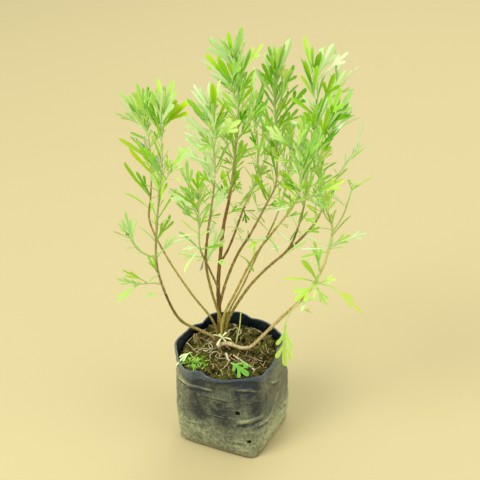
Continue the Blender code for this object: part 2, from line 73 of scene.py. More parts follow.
LIP_RINGS, SHORTEST_LIP, LIP_SPREAD = 4, 0.8, 0.12

# Sagging creases: middle angle, half span, height, rise at both ends, tilt, depth and width
SAGS = (
    (-105, 48, 54, 9.4, 3, 1.0, 1.0),
    (-95, 36, 66, 5.2, 3.8, 0.9, 0.9),
    (-98, 30, 59, 4.2, 1.5, 0.6, 0.8),
    (-60, 22, 72, -3, -6, 0.7, 0.9),
    (-71, 19, 54.5, -1.5, 2, 1.7, 3.0),
    (-44, 27, 47, 12, 9.7, 2.4, 2.2),
    (-112, 34, 80, 3, -3, 0.9, 1.8),
    (-74, 15, 94, -4, -3, 1.4, 1.9),
    (-130, 22, 89, -5, 4, 0.9, 2.0),
    (-140, 34, 36, 5, 3, 0.9, 2.4),
    (-84, 26, 24, -4, 3, 0.8, 2.4),
    (-30, 20, 84, 8, -9, 1.2, 2.2),
)
OTHER_SAGS = 26

# Upright pleats in the slack rim: angle, half width and depth
PLEATS = ((131, 8, 7.0), (-128, 7, 3.0), (-46, 8, 3.5), (-8, 9, 3.0), (64, 8, 3.5), (178, 14, -4.0))

# Where the cut rim is folded down outside: angle, half width and length
LIPS = ((-138, 21, 10.5), (-47, 16, 8.5), (20, 30, 3.0), (100, 40, 3.5))

# Welded corners that stand out at the ground: angle, half width and reach
EARS = ((-70, 9, 4.5), (20, 7, 2.5), (110, 8, 3.5), (200, 8, 3.0))

# The film's own colour is black: its blue tint is a painted sky reflection, and the folded lip's
# paler blue-grey is a painted sheen.
FILM_WITH_PAINTED_SKY, LIP_PAINTED_SHEEN = (0.008, 0.016, 0.023), (0.036, 0.058, 0.080)
DUST, EARTH = (0.390, 0.425, 0.225), (0.200, 0.120, 0.035)
HOLE_RADIUS, HOLE_SIDES, HOLE_CUT = 2.5, 14, 10
HOLE_ROWS = ((26, 0), (64, -10))
HOLES_IN_ROW = 3
FIRST_HOLE = math.radians(-74)
HOLE_TEAR = (0.8, 1.25)


def between(low, high, share):
    return low + (high - low) * share


def outward(angle):
    """The level direction at an angle round the bag."""
    return Vector((math.cos(angle), math.sin(angle), 0))


def rim_height(angle):
    """The rim stands higher at the back."""
    return RIM_HEIGHT + RIM_TILT * math.sin(angle)


def wall_place(angle, height):
    """Where the filled bag's wall stands at an angle round it and a height."""
    share = height / rim_height(angle)
    if share < BELLY_SHARE:
        half = between(BASE_HALF, BELLY_HALF, math.sin(share / BELLY_SHARE * math.pi / 2))
    else:
        half = between(BELLY_HALF, RIM_HALF, (share - BELLY_SHARE) / (1 - BELLY_SHARE))
    half -= FOOT_ROUND * max(0, 1 - height / FOOT_ROUND)
    power = between(BASE_SQUARENESS, RIM_SQUARENESS, share)
    across = abs(math.cos(angle - BAG_TURN)) ** power + abs(math.sin(angle - BAG_TURN)) ** power
    radius = half / across ** (1 / power)
    return Vector((radius * math.cos(angle) + RIM_LEAN.x * share,
                   radius * math.sin(angle) * (1 - RIM_FLATTENING * share) + RIM_LEAN.y * share,
                   height))


def turn_between(angle, degrees):
    """How far an angle is from a number of degrees, the short way round, in degrees."""
    return (math.degrees(angle) - degrees + 180) % 360 - 180


def hump(offset, half):
    return math.exp(-(offset / half) ** 2)


def bulge(angle, humps):
    """The sum of humps round the bag, each a middle angle, a half width and a height."""
    return sum(high * hump(turn_between(angle, at), wide) for at, wide, high in humps)


def all_sags():
    """The small creases all round, and then those that stand out."""
    draw = random.Random("sags")
    for _ in range(OTHER_SAGS):
        yield (draw.uniform(-35, 215), draw.uniform(16, 44), draw.uniform(12, 104),
               draw.uniform(-2, 7), draw.uniform(-8, 8), draw.uniform(0.5, 1.5),
               draw.uniform(1.8, 3.6))
    yield from SAGS


def crease_depth(angle, height, sags):
    """How far the creases push the film out or in: each is a crest over a soft trough."""
    depth = 0
    for middle, span, low, rise, tilt, deep, wide in sags:
        share = turn_between(angle, middle) / span
        if abs(share) < 1:
            offset = height - low - rise * share ** 2 - tilt * share
            section = hump(offset, wide) - TROUGH * hump(offset + TROUGH_PLACE * wide, wide)
            depth += deep * (1 - share ** 2) * section
    return depth


def film_place(angle, level, sags):
    """A point of the film from the foot's edge, at level 0, over the rim to the lip's end, at 2,
    and how far a crease moves it."""
    out = outward(angle)
    ripple = RIM_RIPPLE * noise.noise(out * RIM_RIPPLE_RATE + Vector((0, 0, 9)))
    height = (rim_height(angle) + ripple - bulge(angle, RIM_DIPS)) * min(level, 1)
    place = wall_place(angle, min(height, rim_height(angle)))
    fold = crease_depth(angle, height, sags)
    dent = DENT * noise.noise(place / DENT_SIZE)
    dent += CRUMPLE * noise.fractal(place / CRUMPLE_SIZE, 0.8, 2.1, 3)
    dent += UPRIGHT_WRINKLE * noise.noise(
        Vector((place.x / WRINKLE_WIDTH, place.y / WRINKLE_WIDTH, place.z / WRINKLE_LENGTH)))
    slack = max(0, (min(level, 1) - SLACK_SHARE) / (1 - SLACK_SHARE)) ** 1.5
    move = (fold + dent) * min(1, height / SMOOTH_FOOT)
    move += slack * (RIM_WAVE * noise.noise(out * RIM_WAVE_RATE) - bulge(angle, PLEATS))
    move += bulge(angle, EARS) * max(0, 1 - height / EAR_HEIGHT) ** 2
    place += out * move
    place.z = height
    if level > 1:
        roll = min(1, 2 * (level - 1)) * math.pi
        down = max(0, 2 * (level - 1) - 1) * (SHORTEST_LIP + bulge(angle, LIPS))
        place += out * (ROLL_RADIUS * (1 - math.cos(roll)) + LIP_SPREAD * down)
        place.z += ROLL_RADIUS * math.sin(roll) - down
    return place, fold


def grow_ring(shape, rim):
    """Extrudes a ring of edges and returns the new ring's edges and corners."""
    grown = bmesh.ops.extrude_edge_only(shape, edges=rim)["geom"]
    corners = {item for item in grown if isinstance(item, bmesh.types.BMVert)}
    rim = [item for item in grown
           if isinstance(item, bmesh.types.BMEdge) and corners.issuperset(item.verts)]
    return rim, corners


def grow_rings(shape, sides, levels):
    """Grows a drum, closed below, by a ring of corners for each level. Each comes with its edges
    and with its corners' angles, and is put in its place before the next one grows from it."""
    bmesh.ops.create_circle(shape, cap_ends=True, radius=1, segments=sides)
    rim = list(shape.edges)
    angles = {corner: math.atan2(corner.co.y, corner.co.x) for corner in shape.verts}
    for number, level in enumerate(levels):
        if number:
            spots = {corner.co.copy().freeze(): angle for corner, angle in angles.items()}
            rim, corners = grow_ring(shape, rim)
            angles = {corner: spots[corner.co.copy().freeze()] for corner in corners}
        yield level, rim, angles


def add_piece(name, shape, materials, smooth=40):
    """Turns a shape in millimetres into a piece in metres, smooth but for its sharp edges."""
    mesh = bpy.data.meshes.new(name)
    shape.to_mesh(mesh)
    shape.free()
    mesh.transform(Matrix.Scale(MM, 4))
    for material in materials:
        mesh.materials.append(material)
    mesh.shade_smooth()
    mesh.set_sharp_from_angle(angle=math.radians(smooth))
    piece = bpy.data.objects.new(name, mesh)
    bpy.context.scene.collection.objects.link(piece)
    return piece


def apply_modifiers(piece):
    """Gives the piece the mesh that its modifiers make, and drops them."""
    bpy.context.view_layer.update()
    depsgraph = bpy.context.evaluated_depsgraph_get()
    piece.data = bpy.data.meshes.new_from_object(piece.evaluated_get(depsgraph))
    piece.modifiers.clear()


def new_finish(name, roughness):
    """A material, its node tree and its shader."""
    material = bpy.data.materials.new(name)
    material.use_nodes = True
    shader = material.node_tree.nodes["Principled BSDF"]
    shader.inputs["Roughness"].default_value = roughness
    return material, material.node_tree, shader


def put(tree, kind, inputs, **settings):
    """Adds a node. Each input is a value, or the socket that feeds it."""
    made = tree.nodes.new("ShaderNode" + kind)
    for key, value in settings.items():
        setattr(made, key, value)
    for key, value in inputs.items():
        if isinstance(value, bpy.types.NodeSocket):
            tree.links.new(value, made.inputs[key])
        else:
            made.inputs[key].default_value = value
    return made


def object_place(tree, scale=(1, 1, 1)):
    """Object coordinates in metres, stretched by a scale."""
    place = put(tree, "TexCoord", {}).outputs["Object"]
    return put(tree, "Mapping", {"Vector": place, "Scale": scale}).outputs["Vector"]


def grain(tree, place, scale, detail=3.0, roughness=0.55):
    """Noise from about 0 to 1."""
    return put(tree, "TexNoise", {"Vector": place, "Scale": scale, "Detail": detail,
                                  "Roughness": roughness}).outputs["Fac"]


def ramp(tree, value, low, high, start=0.0, end=1.0):
    """Takes a value from low..high to start..end, with soft ends."""
    made = put(tree, "MapRange", {"Value": value, "From Min": low, "From Max": high,
                                  "To Min": start, "To Max": end}, interpolation_type="SMOOTHSTEP")
    return made.outputs["Result"]


def sums(tree, kind, a, b):
    return put(tree, "Math", {0: a, 1: b}, operation=kind).outputs[0]


def added(tree, total, *others):
    """The sum of all the values."""
    for other in others:
        total = sums(tree, "ADD", total, other)
    return total


def mixed(tree, share, low, high):
    """A colour between two colours, each given as three numbers or as a socket."""
    low, high = [(*colour, 1) if isinstance(colour, tuple) else colour for colour in (low, high)]
    made = put(tree, "Mix", {0: share, 6: low, 7: high}, data_type="RGBA")
    return made.outputs[2]


def bump(tree, shader, height, distance, strength):
    """Relief, its depth in metres."""
    made = put(tree, "Bump", {"Height": height, "Distance": distance, "Strength": strength})
    tree.links.new(made.outputs["Normal"], shader.inputs["Normal"])


def film_finish(name, film_and_sheen_colour, dust_and_crease_share):
    """Black film, tinted blue as a painted sky reflection. Outside it wears a film of dust, thickest
    low down, with specks, scuffs and earth at its foot. Its upper band is darker and its left and
    right sides paler, painted highlights run along its crease ridges and painted shade lies in
    their troughs."""
    material, tree, shader = new_finish(name, 0.4)
    place = object_place(tree)
    fold = put(tree, "Attribute", {}, attribute_name="fold").outputs["Fac"]
    x, _, z = put(tree, "SeparateXYZ", {"Vector": place}).outputs
    blotch = ramp(tree, grain(tree, place, 24, 6, 0.66), 0.38, 0.66, -0.04, 0.34)
    low = ramp(tree, z, 0.010, 0.060, 0.46, 0.0)
    # The upper band of the wall is made darker, and the left and right sides paler.
    darker_upper_band = ramp(tree, z, 0.056, 0.080, 0.0, -0.11)
    left = ramp(tree, x, -0.062, -0.040, 0.34, 0.0)
    right = ramp(tree, x, 0.018, 0.056, 0.0, 0.36)
    patchy = ramp(tree, grain(tree, place, 300, 5, 0.7), 0.34, 0.64, 0.45, 1.35)
    dust = sums(tree, "MULTIPLY", added(tree, blotch, low, darker_upper_band, left, right), patchy)
    speck = ramp(tree, grain(tree, place, 760, 3, 0.7), 0.62, 0.74, 0.0, 0.42)
    streak = grain(tree, object_place(tree, (0.25, 0.5, 1.6)), 420, 3, 0.6)
    scuff = ramp(tree, streak, 0.64, 0.74, 0.0, 0.30)
    # Painted highlights along the crease ridges, held narrow on the broad crests.
    crest = ramp(tree, fold, 0.40, 0.9, 0.0, 0.32)
    crest_highlight_trim = ramp(tree, fold, 1.0, 1.8, 0.0, -0.20)
    # Painted shade in the crease troughs.
    trough = ramp(tree, fold, -1.0, -0.2, -0.28, 0.0)
    # From here on this sum holds the painted crease highlights and shade as well as the dust.
    dust = added(tree, dust, speck, scuff, crest, crest_highlight_trim, trough)
    dust = put(tree, "Clamp", {"Value": sums(tree, "MULTIPLY", dust, dust_and_crease_share)}).outputs["Result"]
    colour = mixed(tree, dust, film_and_sheen_colour, DUST)
    damp = ramp(tree, grain(tree, place, 150, 4, 0.7), 0.40, 0.58)
    damp = sums(tree, "MULTIPLY", damp, ramp(tree, z, 0.002, 0.011, 0.9, 0.0))
    colour = mixed(tree, damp, colour, EARTH)
    tree.links.new(colour, shader.inputs["Base Color"])
    tree.links.new(ramp(tree, dust, 0.0, 0.45, 0.26, 0.70), shader.inputs["Roughness"])
    wrinkle = put(tree, "TexVoronoi", {"Vector": place, "Scale": 95.0},
                  feature="DISTANCE_TO_EDGE").outputs["Distance"]
    rough = sums(tree, "ADD", ramp(tree, wrinkle, 0.0, 0.2, 0.0, 0.35), grain(tree, place, 160, 4))
    bump(tree, shader, rough, 0.0012, 0.45)
    return material


def hole_cutter(angle, height):
    """A ragged plug where the film is punched through for drainage."""
    shape = bmesh.new()
    bmesh.ops.create_cone(
        shape, cap_ends=True, segments=HOLE_SIDES, radius1=HOLE_RADIUS, radius2=HOLE_RADIUS,
        depth=HOLE_CUT)
    draw = random.Random(f"hole {angle:.2f}")
    for corner in shape.verts:
        if corner.co.z > 0:
            stretch = draw.uniform(*HOLE_TEAR)
            below = [edge.other_vert(corner) for edge in corner.link_edges]
            for end in (corner, *(other for other in below if other.co.z < 0)):
                end.co.x *= stretch
                end.co.y *= stretch
    shape.transform(Matrix.Translation(wall_place(angle, height)) @ Matrix.Rotation(angle, 4, "Z")
                    @ Matrix.Rotation(math.pi / 2, 4, "Y"))
    return add_piece("hole_cutter", shape, [])


def make_bag():
    """The film's foot, wall and rolled lip, with its thickness and its drain holes."""
    sags = list(all_sags())
    shape = bmesh.new()
    fold = shape.verts.layers.float.new("fold")
    levels = [ring / BAG_RINGS for ring in range(BAG_RINGS + 1)]
    levels += [1 + 0.5 * ring / ROLL_RINGS for ring in range(1, ROLL_RINGS + 1)]
    levels += [1.5 + 0.5 * ring / LIP_RINGS for ring in range(1, LIP_RINGS + 1)]
    for level, rim, angles in grow_rings(shape, BAG_SIDES, levels):
        for edge in rim:
            edge.link_faces[0].material_index = level > ROLLED
        for corner, angle in angles.items():
            corner.co, corner[fold] = film_place(angle, level, sags)
    foot = next(face for face in shape.faces if len(face.verts) == BAG_SIDES)
    if foot.normal.z > 0:
        bmesh.ops.reverse_faces(shape, faces=shape.faces[:])
    # All three finishes start from film tinted blue as a painted sky reflection, and the lip's colour
    # is a painted sheen.
    bag = add_piece("bag_film", shape, [film_finish("dusty_film_painted_creases", FILM_WITH_PAINTED_SKY, 1.0),
                                        film_finish("inner_film", FILM_WITH_PAINTED_SKY, 0.06),
                                        film_finish("lip_film_painted_sheen", LIP_PAINTED_SHEEN, 0.6)], smooth=60)
    wall = bag.modifiers.new("film", "SOLIDIFY")
    wall.thickness = FILM * MM
    wall.offset = -1
    wall.material_offset = 1
    cutters = []
    for height, turn in HOLE_ROWS:
        for number in range(HOLES_IN_ROW):
            angle = FIRST_HOLE + math.radians(turn) + number * math.tau / HOLES_IN_ROW
            cutters.append(hole_cutter(angle, height))
            cut = bag.modifiers.new("hole", "BOOLEAN")
            cut.operation = "DIFFERENCE"
            cut.object = cutters[-1]
    apply_modifiers(bag)
    for cutter in cutters:
        bpy.data.objects.remove(cutter)
    return bag


bag_film = make_bag()
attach(bag_film, "root")
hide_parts("grow_bag")


# The soil
# Dark potting soil, packed into the bag round the roots. Its top slopes up to the back, has
# crumbled into lumps and crumbs, and has begun to grow moss.

SOIL_MIDDLE = Vector((*RIM_LEAN, 0))
SOIL_GAP, SOIL_FLOOR, SOIL_SHOULDER = 1.2, 1.2, 3
FILM_BAND, FILM_ARC = (-7, -3.5, 0, 3.5, 7), (-0.05, -0.025, 0, 0.025, 0.05)
SOIL_HEIGHT, SOIL_SLOPE = 109.5, 0.14
LUMP_HEIGHT, LUMP_SIZE = 2.6, 17
SOIL_SIDES, SOIL_TOP_RINGS, SOIL_TOP_SPAN = 144, 52, 0.97
SOIL_LEVELS = (0.02, 0.35, 0.7, 0.92)
SOIL_RELIEF = ((2.0, 7.5), (1.3, 3.2))
CRUMBS, CRUMB_SIZE = 640, (0.7, 2.9)
MOSS_PATCHES = ((-44, -16, 12), (33, 4, 13), (42, 20, 9), (13, 27, 9), (-8, -42, 12), (-46, 20, 9),
                (20, -30, 8))
MOSS_TUFTS, MOSS_HEIGHT, MOSS_FOOT, MOSS_TIP = 900, (1.2, 3.2), (0.35, 0.7), 0.08
MOSS_LEAN, MOSS_GAP = 0.7, 3

# How far a crumb's or a moss shoot's middle stands above the soil, as a share of its size
STANDS_OUT = 0.35


def surface_tree(mesh):
    """The surface of a finished mesh, in millimetres."""
    shape = bmesh.new()
    shape.from_mesh(mesh)
    shape.transform(Matrix.Scale(1 / MM, 4))
    tree = BVHTree.FromBMesh(shape)
    shape.free()
    return tree


FILM_TREE = surface_tree(bag_film.data)


def in_bag(angle, height, gap):
    """The point at an angle and a height that clears the film's inner face, just there, by a gap."""
    middle = Vector((*RIM_LEAN * (height / RIM_HEIGHT), 0))
    reach = (wall_place(angle, height) - middle).xy.length
    for step in FILM_BAND:
        level = Vector((0, 0, max(height + step, 1)))
        for turn in FILM_ARC:
            reach = min(reach, FILM_TREE.ray_cast(middle + level, outward(angle + turn))[3] or reach)
    return middle + outward(angle) * (reach - gap) + Vector((0, 0, height))


def edge_place(angle, gap):
    """Where the soil's top ends at an angle, in from the film by a gap."""
    wall = wall_place(angle, SOIL_HEIGHT)
    return in_bag(angle, soil_height(wall.x, wall.y), gap)


def kept_in(x, y, gap):
    """The place itself, or the one in line with the soil's middle that clears the film."""
    away = Vector((x, y)) - RIM_LEAN
    reach = (edge_place(math.atan2(away.y, away.x), gap).xy - RIM_LEAN).length
    return RIM_LEAN + away * min(1, reach / away.length)


def soil_height(x, y):
    """The soil's surface without its crumbled relief."""
    lump = noise.noise(Vector((x, y, 0)) / LUMP_SIZE)
    return SOIL_HEIGHT + SOIL_SLOPE * y + LUMP_HEIGHT * lump


def ground(x, y):
    """The soil's real surface: its slow lumps with crumbled relief on them."""
    relief = sum(high * noise.noise(Vector((x, y, 40)) / size) for high, size in SOIL_RELIEF)
    return soil_height(x, y) + relief


def soil_finish():
    """Dark soil with paler crumbled clods, mossy stains and straw-coloured flecks."""
    material, tree, shader = new_finish("damp_soil", 0.9)
    place = object_place(tree)
    clod = grain(tree, place, 110, 6, 0.7)
    fleck = grain(tree, place, 900, 2, 0.5)
    moss = grain(tree, place, 38, 4, 0.6)
    colour = mixed(tree, ramp(tree, clod, 0.36, 0.70), (0.004, 0.003, 0.001), (0.245, 0.205, 0.042))
    colour = mixed(tree, ramp(tree, moss, 0.46, 0.62, 0.0, 0.60), colour, (0.150, 0.160, 0.012))
    colour = mixed(tree, ramp(tree, fleck, 0.63, 0.72, 0.0, 0.8), colour, (0.50, 0.42, 0.20))
    tree.links.new(colour, shader.inputs["Base Color"])
    shader.inputs["Specular IOR Level"].default_value = 0.08
    bump(tree, shader, sums(tree, "ADD", clod, grain(tree, place, 520, 4, 0.7)), 0.004, 1.0)
    return material


def make_soil_bed():
    """A drum of soil inside the film, closed below, its top a net of rings that narrow inward."""
    shape = bmesh.new()
    edges = {}
    steps = [(level, 1) for level in (0, *SOIL_LEVELS)]
    steps += [(1, 1 - SOIL_TOP_SPAN * ring / SOIL_TOP_RINGS) for ring in range(SOIL_TOP_RINGS + 1)]
    for (level, share), rim, angles in grow_rings(shape, SOIL_SIDES, steps):
        for corner, angle in angles.items():
            if angle not in edges:
                edges[angle] = edge_place(angle, SOIL_GAP)
            edge = edges[angle]
            if level < 1:
                top = soil_height(edge.x, edge.y) - SOIL_SHOULDER
                corner.co = in_bag(angle, between(SOIL_FLOOR, top, level), SOIL_GAP)
            else:
                corner.co = SOIL_MIDDLE.lerp(edge, share)
                corner.co.z = ground(corner.co.x, corner.co.y)
    bmesh.ops.edgeloop_fill(shape, edges=rim)
    bmesh.ops.recalc_face_normals(shape, faces=shape.faces[:])
    return shape


def join_in(shape, other):
    """Adds another shape's mesh to this one and frees it."""
    mesh = bpy.data.meshes.new("joined")
    other.to_mesh(mesh)
    other.free()
    shape.from_mesh(mesh)
    bpy.data.meshes.remove(mesh)


def soil_spot(draw, reach=0.93):
    """A random place on the soil's top, evenly spread."""
    angle, share = draw.uniform(0, math.tau), reach * math.sqrt(draw.random())
    edge = edge_place(angle, SOIL_GAP)
    return SOIL_MIDDLE.lerp(edge, share)


def make_crumbs():
    """Loose crumbs, each a small lumpy pebble of soil."""
    draw = random.Random("crumbs")
    shape = bmesh.new()
    for number in range(CRUMBS):
        spot = soil_spot(draw)
        size = draw.uniform(*CRUMB_SIZE) * draw.uniform(0.5, 1)
        crumb = bmesh.new()
        bmesh.ops.create_icosphere(crumb, subdivisions=1, radius=size)
        for corner in crumb.verts:
            seed = corner.co / size * 0.9 + Vector((number * 3.1, 0, 0))
            corner.co *= 1 + 0.45 * noise.noise(seed)
            corner.co.z *= 0.75
        bmesh.ops.rotate(crumb, matrix=Matrix.Rotation(draw.uniform(0, math.tau), 3, "Z"),
                         verts=crumb.verts[:])
        lift = ground(spot.x, spot.y) + size * STANDS_OUT
        bmesh.ops.translate(crumb, vec=(spot.x, spot.y, lift), verts=crumb.verts[:])
        join_in(shape, crumb)
    return shape


def moss_finish():
    """Moss, deep green to yellow-green in patches."""
    material, tree, shader = new_finish("moss", 0.85)
    patch = grain(tree, object_place(tree), 260, 3)
    colour = mixed(tree, ramp(tree, patch, 0.35, 0.65), (0.070, 0.105, 0.008), (0.210, 0.250, 0.022))
    tree.links.new(colour, shader.inputs["Base Color"])
    return material


def make_moss():
    """Short pointed shoots that crowd in soft round patches."""
    draw = random.Random("moss")
    shape = bmesh.new()
    for number in range(MOSS_TUFTS):
        x, y, spread = MOSS_PATCHES[number % len(MOSS_PATCHES)]
        x += draw.gauss(0, spread * 0.5)
        y += draw.gauss(0, spread * 0.5)
        high = draw.uniform(*MOSS_HEIGHT)
        x, y = kept_in(x, y, MOSS_GAP + high)
        lean, roll = (Matrix.Rotation(draw.uniform(-MOSS_LEAN, MOSS_LEAN), 4, axis) for axis in "XY")
        place = Matrix.Translation((x, y, ground(x, y) + high * STANDS_OUT))
        bmesh.ops.create_cone(
            shape, cap_ends=True, segments=4, radius1=draw.uniform(*MOSS_FOOT), radius2=MOSS_TIP,
            depth=high, matrix=place @ lean @ roll)
    return shape


soil_look = soil_finish()
soil_bed = add_piece("soil_bed", make_soil_bed(), [soil_look], smooth=75)
soil_crumbs = add_piece("soil_crumbs", make_crumbs(), [soil_look], smooth=60)
moss = add_piece("moss", make_moss(), [moss_finish()])
for piece in (soil_bed, soil_crumbs, moss):
    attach(piece, "root")
    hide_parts("soil")


# The crown and the woody stems
# The brown rootstock is knobbly where it breaks the soil. Every stem rises from it, woody at its
# foot, with thin striped bark, small swellings at its old leaf scars and a few dry spurs.

CROWN_PLACE, CROWN_TOP = Vector((-17, 12, 0)), 113.5
CROWN_HALF = Vector((9, 14, 13))
CROWN_SINK, CROWN_KNOBS = 6, ((0.30, 2.3), (0.12, 6))
CROWN_BROWN = (0.15, 0.085, 0.02)
UP = Vector((0, 0, 1))

# Roots that leave the crown: their number, reach, radii, and shares of the way with their rise
ROOT_FLARES, ROOT_REACH, ROOT_RADII, ROOT_START = 6, (8, 17), (1.5, 0.5), 6
ROOT_DIVE = ((0, 2.5), (0.3, 2.5), (0.6, 1.2), (0.85, -0.4), (1, -3))

BROWN, DARK_BROWN = (0.310, 0.165, 0.030), (0.185, 0.088, 0.012)
OLIVE, GOLD_OLIVE = (0.380, 0.320, 0.050), (0.560, 0.480, 0.090)
TAN, GREEN_STEM = (0.640, 0.500, 0.220), (0.420, 0.560, 0.140)
PALE_TAN = (0.720, 0.620, 0.360)

# Stems: route points, radius at foot and tip, the point at which the leaves begin, the counts of
# leaves and of twigs, and the bark's colours from the foot, through the middle, to the leaves
STEMS = {
    "centre": {
        "route": [(-17, 17, 104), (-17, 18, 150), (-18, 15, 189), (-15, 13, 230), (-11, 10, 270),
                  (-5, 6, 303), (0, 3, 340), (4, 1, 385), (5, -1, 425), (2, -5, 470)],
        "radius": (2.6, 0.8), "leafy": 5, "leaves": 17, "twigs": 4,
        "bark": (DARK_BROWN, BROWN, BROWN),
    },
    "left": {
        "route": [(-18, 12, 104), (-24, 12, 119), (-39, 7, 132), (-62, -2, 153), (-77, -11, 194),
                  (-85, -19, 240), (-82, -24, 295), (-75, -30, 360), (-74, -33, 404),
                  (-74, -35, 428)],
        "radius": (1.9, 0.8), "leafy": 4, "leaves": 15, "twigs": 1,
        "bark": (TAN, OLIVE, DARK_BROWN),
    },
    "left_back": {
        "route": [(-18, 20, 104), (-24, 25, 132), (-51, 32, 169), (-78, 41, 212), (-96, 48, 253),
                  (-94, 50, 285), (-92, 53, 323), (-95, 57, 360), (-99, 60, 382)],
        "radius": (1.4, 0.7), "leafy": 5, "leaves": 10, "twigs": 1,
        "bark": (OLIVE, GOLD_OLIVE, BROWN),
    },
    "front_left": {
        "route": [(-16, 11, 104), (-15, 16, 136), (-25, 5, 185), (-31, -5, 230), (-28, -16, 274),
                  (-23, -25, 313), (-19, -36, 358), (-21, -44, 398), (-21, -50, 432)],
        "radius": (1.7, 0.8), "leafy": 4, "leaves": 15, "twigs": 2,
        "bark": (GOLD_OLIVE, OLIVE, BROWN),
    },
    "low_front_left": {
        "route": [(-18, 15, 185), (-31, -2, 230), (-37, -17, 257), (-37, -31, 298),
                  (-36, -48, 335)],
        "radius": (1.2, 0.7), "leafy": 2, "leaves": 9, "twigs": 1,
        "bark": (OLIVE, OLIVE, GREEN_STEM),
    },
    "inner_back": {
        "route": [(-15, 13, 220), (-6, 18, 235), (3, 27, 256), (12, 37, 279), (22, 43, 300),
                  (27, 51, 326), (25, 61, 364), (20, 68, 392)],
        "radius": (1.3, 0.7), "leafy": 3, "leaves": 10, "twigs": 2,
        "bark": (BROWN, BROWN, OLIVE),
    },
    "centre_right": {
        "route": [(-17, 17, 158), (-9, 15, 193), (4, 18, 227), (18, 19, 252), (37, 22, 291),
                  (47, 23, 318), (46, 25, 370), (44, 27, 414), (45, 28, 442)],
        "radius": (1.6, 0.8), "leafy": 3, "leaves": 13, "twigs": 3,
        "bark": (BROWN, OLIVE, BROWN),
    },
    "front_right": {
        "route": [(-15, 10, 104), (-12, 10, 148), (3, -2, 192), (22, -19, 245), (45, -37, 291),
                  (62, -50, 324), (69, -60, 352), (70, -68, 380)],
        "radius": (1.6, 0.8), "leafy": 4, "leaves": 10, "twigs": 2,
        "bark": (GOLD_OLIVE, GOLD_OLIVE, OLIVE),
    },
    "back_right": {
        "route": [(-15, 19, 104), (-8, 24, 141), (11, 36, 177), (28, 50, 211), (46, 61, 245),
                  (59, 72, 282), (64, 82, 318), (64, 88, 350)],
        "radius": (1.3, 0.7), "leafy": 4, "leaves": 9, "twigs": 1,
        "bark": (OLIVE, GOLD_OLIVE, OLIVE),
    },
    "upper_right": {
        "route": [(-13, 15, 104), (-7, 19, 138), (14, 14, 182), (36, 8, 214), (60, 0, 244),
                  (70, -11, 277), (76, -22, 315), (77, -33, 358), (74, -41, 392)],
        "radius": (1.8, 0.7), "leafy": 5, "leaves": 11, "twigs": 2,
        "bark": (OLIVE, OLIVE, BROWN),
    },
    "outer_right": {
        "route": [(59, 0, 243), (74, 4, 255), (92, 13, 274), (104, 21, 300), (118, 28, 328),
                  (134, 35, 350)],
        "radius": (1.4, 0.7), "leafy": 2, "leaves": 4, "twigs": 0,
        "bark": (BROWN, BROWN, OLIVE),
    },
    "far_right": {
        "route": [(-17, 4, 106), (-17, 0, 115), (-11, -4, 121.5), (-2, -7, 121.5), (9, -9, 118.5),
                  (20, -11, 122), (36, -15, 143), (55, -19, 168), (79, -25, 199), (96, -28, 233),
                  (105, -23, 264), (107, -19, 283), (98, -15, 310), (91, -11, 345), (88, -7, 395),
                  (84, -3, 430), (82, 0, 455)],
        "radius": (2.4, 0.8), "leafy": 8, "leaves": 14, "twigs": 2,
        "bark": (PALE_TAN, TAN, GOLD_OLIVE),
    },
}
WOOD_STEP, WOOD_SIDES = 4.5, 10
SPURS, SPUR_LENGTH, SPUR_RADII, SPUR_SIDES = 2, (1.5, 4), (0.6, 0.45, 0.25), 6
TRACE_PARTS = 12
AIM, STEEP = 0.02, 0.9
SCAR_GAP, SCAR_SWELL, SCAR_WIDTH, UNEVEN = 12.5, 0.20, 0.16, 0.05


def route_place(route, at):
    """Point of the smooth curve through a route, at counting its points from 0."""
    number = min(int(at), len(route) - 2)
    share = at - number
    before, start, end, after = (
        Vector(route[min(max(i, 0), len(route) - 1)]) for i in range(number - 1, number + 3))
    return 0.5 * (2 * start + (end - before) * share
                  + (2 * before - 5 * start + 4 * end - after) * share ** 2
                  + (3 * start - before - 3 * end + after) * share ** 3)


def trace(route, first, last, step):
    """Evenly spaced places along a route's curve, each with its place in the route."""
    fine = TRACE_PARTS * max(1, math.ceil(last - first))
    ats = [between(first, last, i / fine) for i in range(fine + 1)]
    places = [route_place(route, at) for at in ats]
    run = [0]
    for a, b in zip(places, places[1:]):
        run.append(run[-1] + (b - a).length)
    count = max(2, round(run[-1] / step))
    marks, i = [], 0
    for number in range(count + 1):
        goal = run[-1] * number / count
        while i < fine - 1 and run[i + 1] < goal:
            i += 1
        share = (goal - run[i]) / (run[i + 1] - run[i])
        at = between(ats[i], ats[i + 1], min(share, 1))
        marks.append((at, route_place(route, at)))
    return marks


def direction(route, at):
    """Where a route heads at a place in it."""
    last = len(route) - 1
    return (route_place(route, min(at + AIM, last))
            - route_place(route, max(at - AIM, 0))).normalized()


def beside(axis, turn):
    """A direction square to an axis, turned round it."""
    side = axis.cross(UP if abs(axis.z) < STEEP else Vector((0, 1, 0))).normalized()
    return Matrix.Rotation(turn, 3, axis) @ side


def no_wood():
    """An empty shape with the layer that holds the bark's colour."""
    shape = bmesh.new()
    return shape, shape.verts.layers.float_color.new("tone")


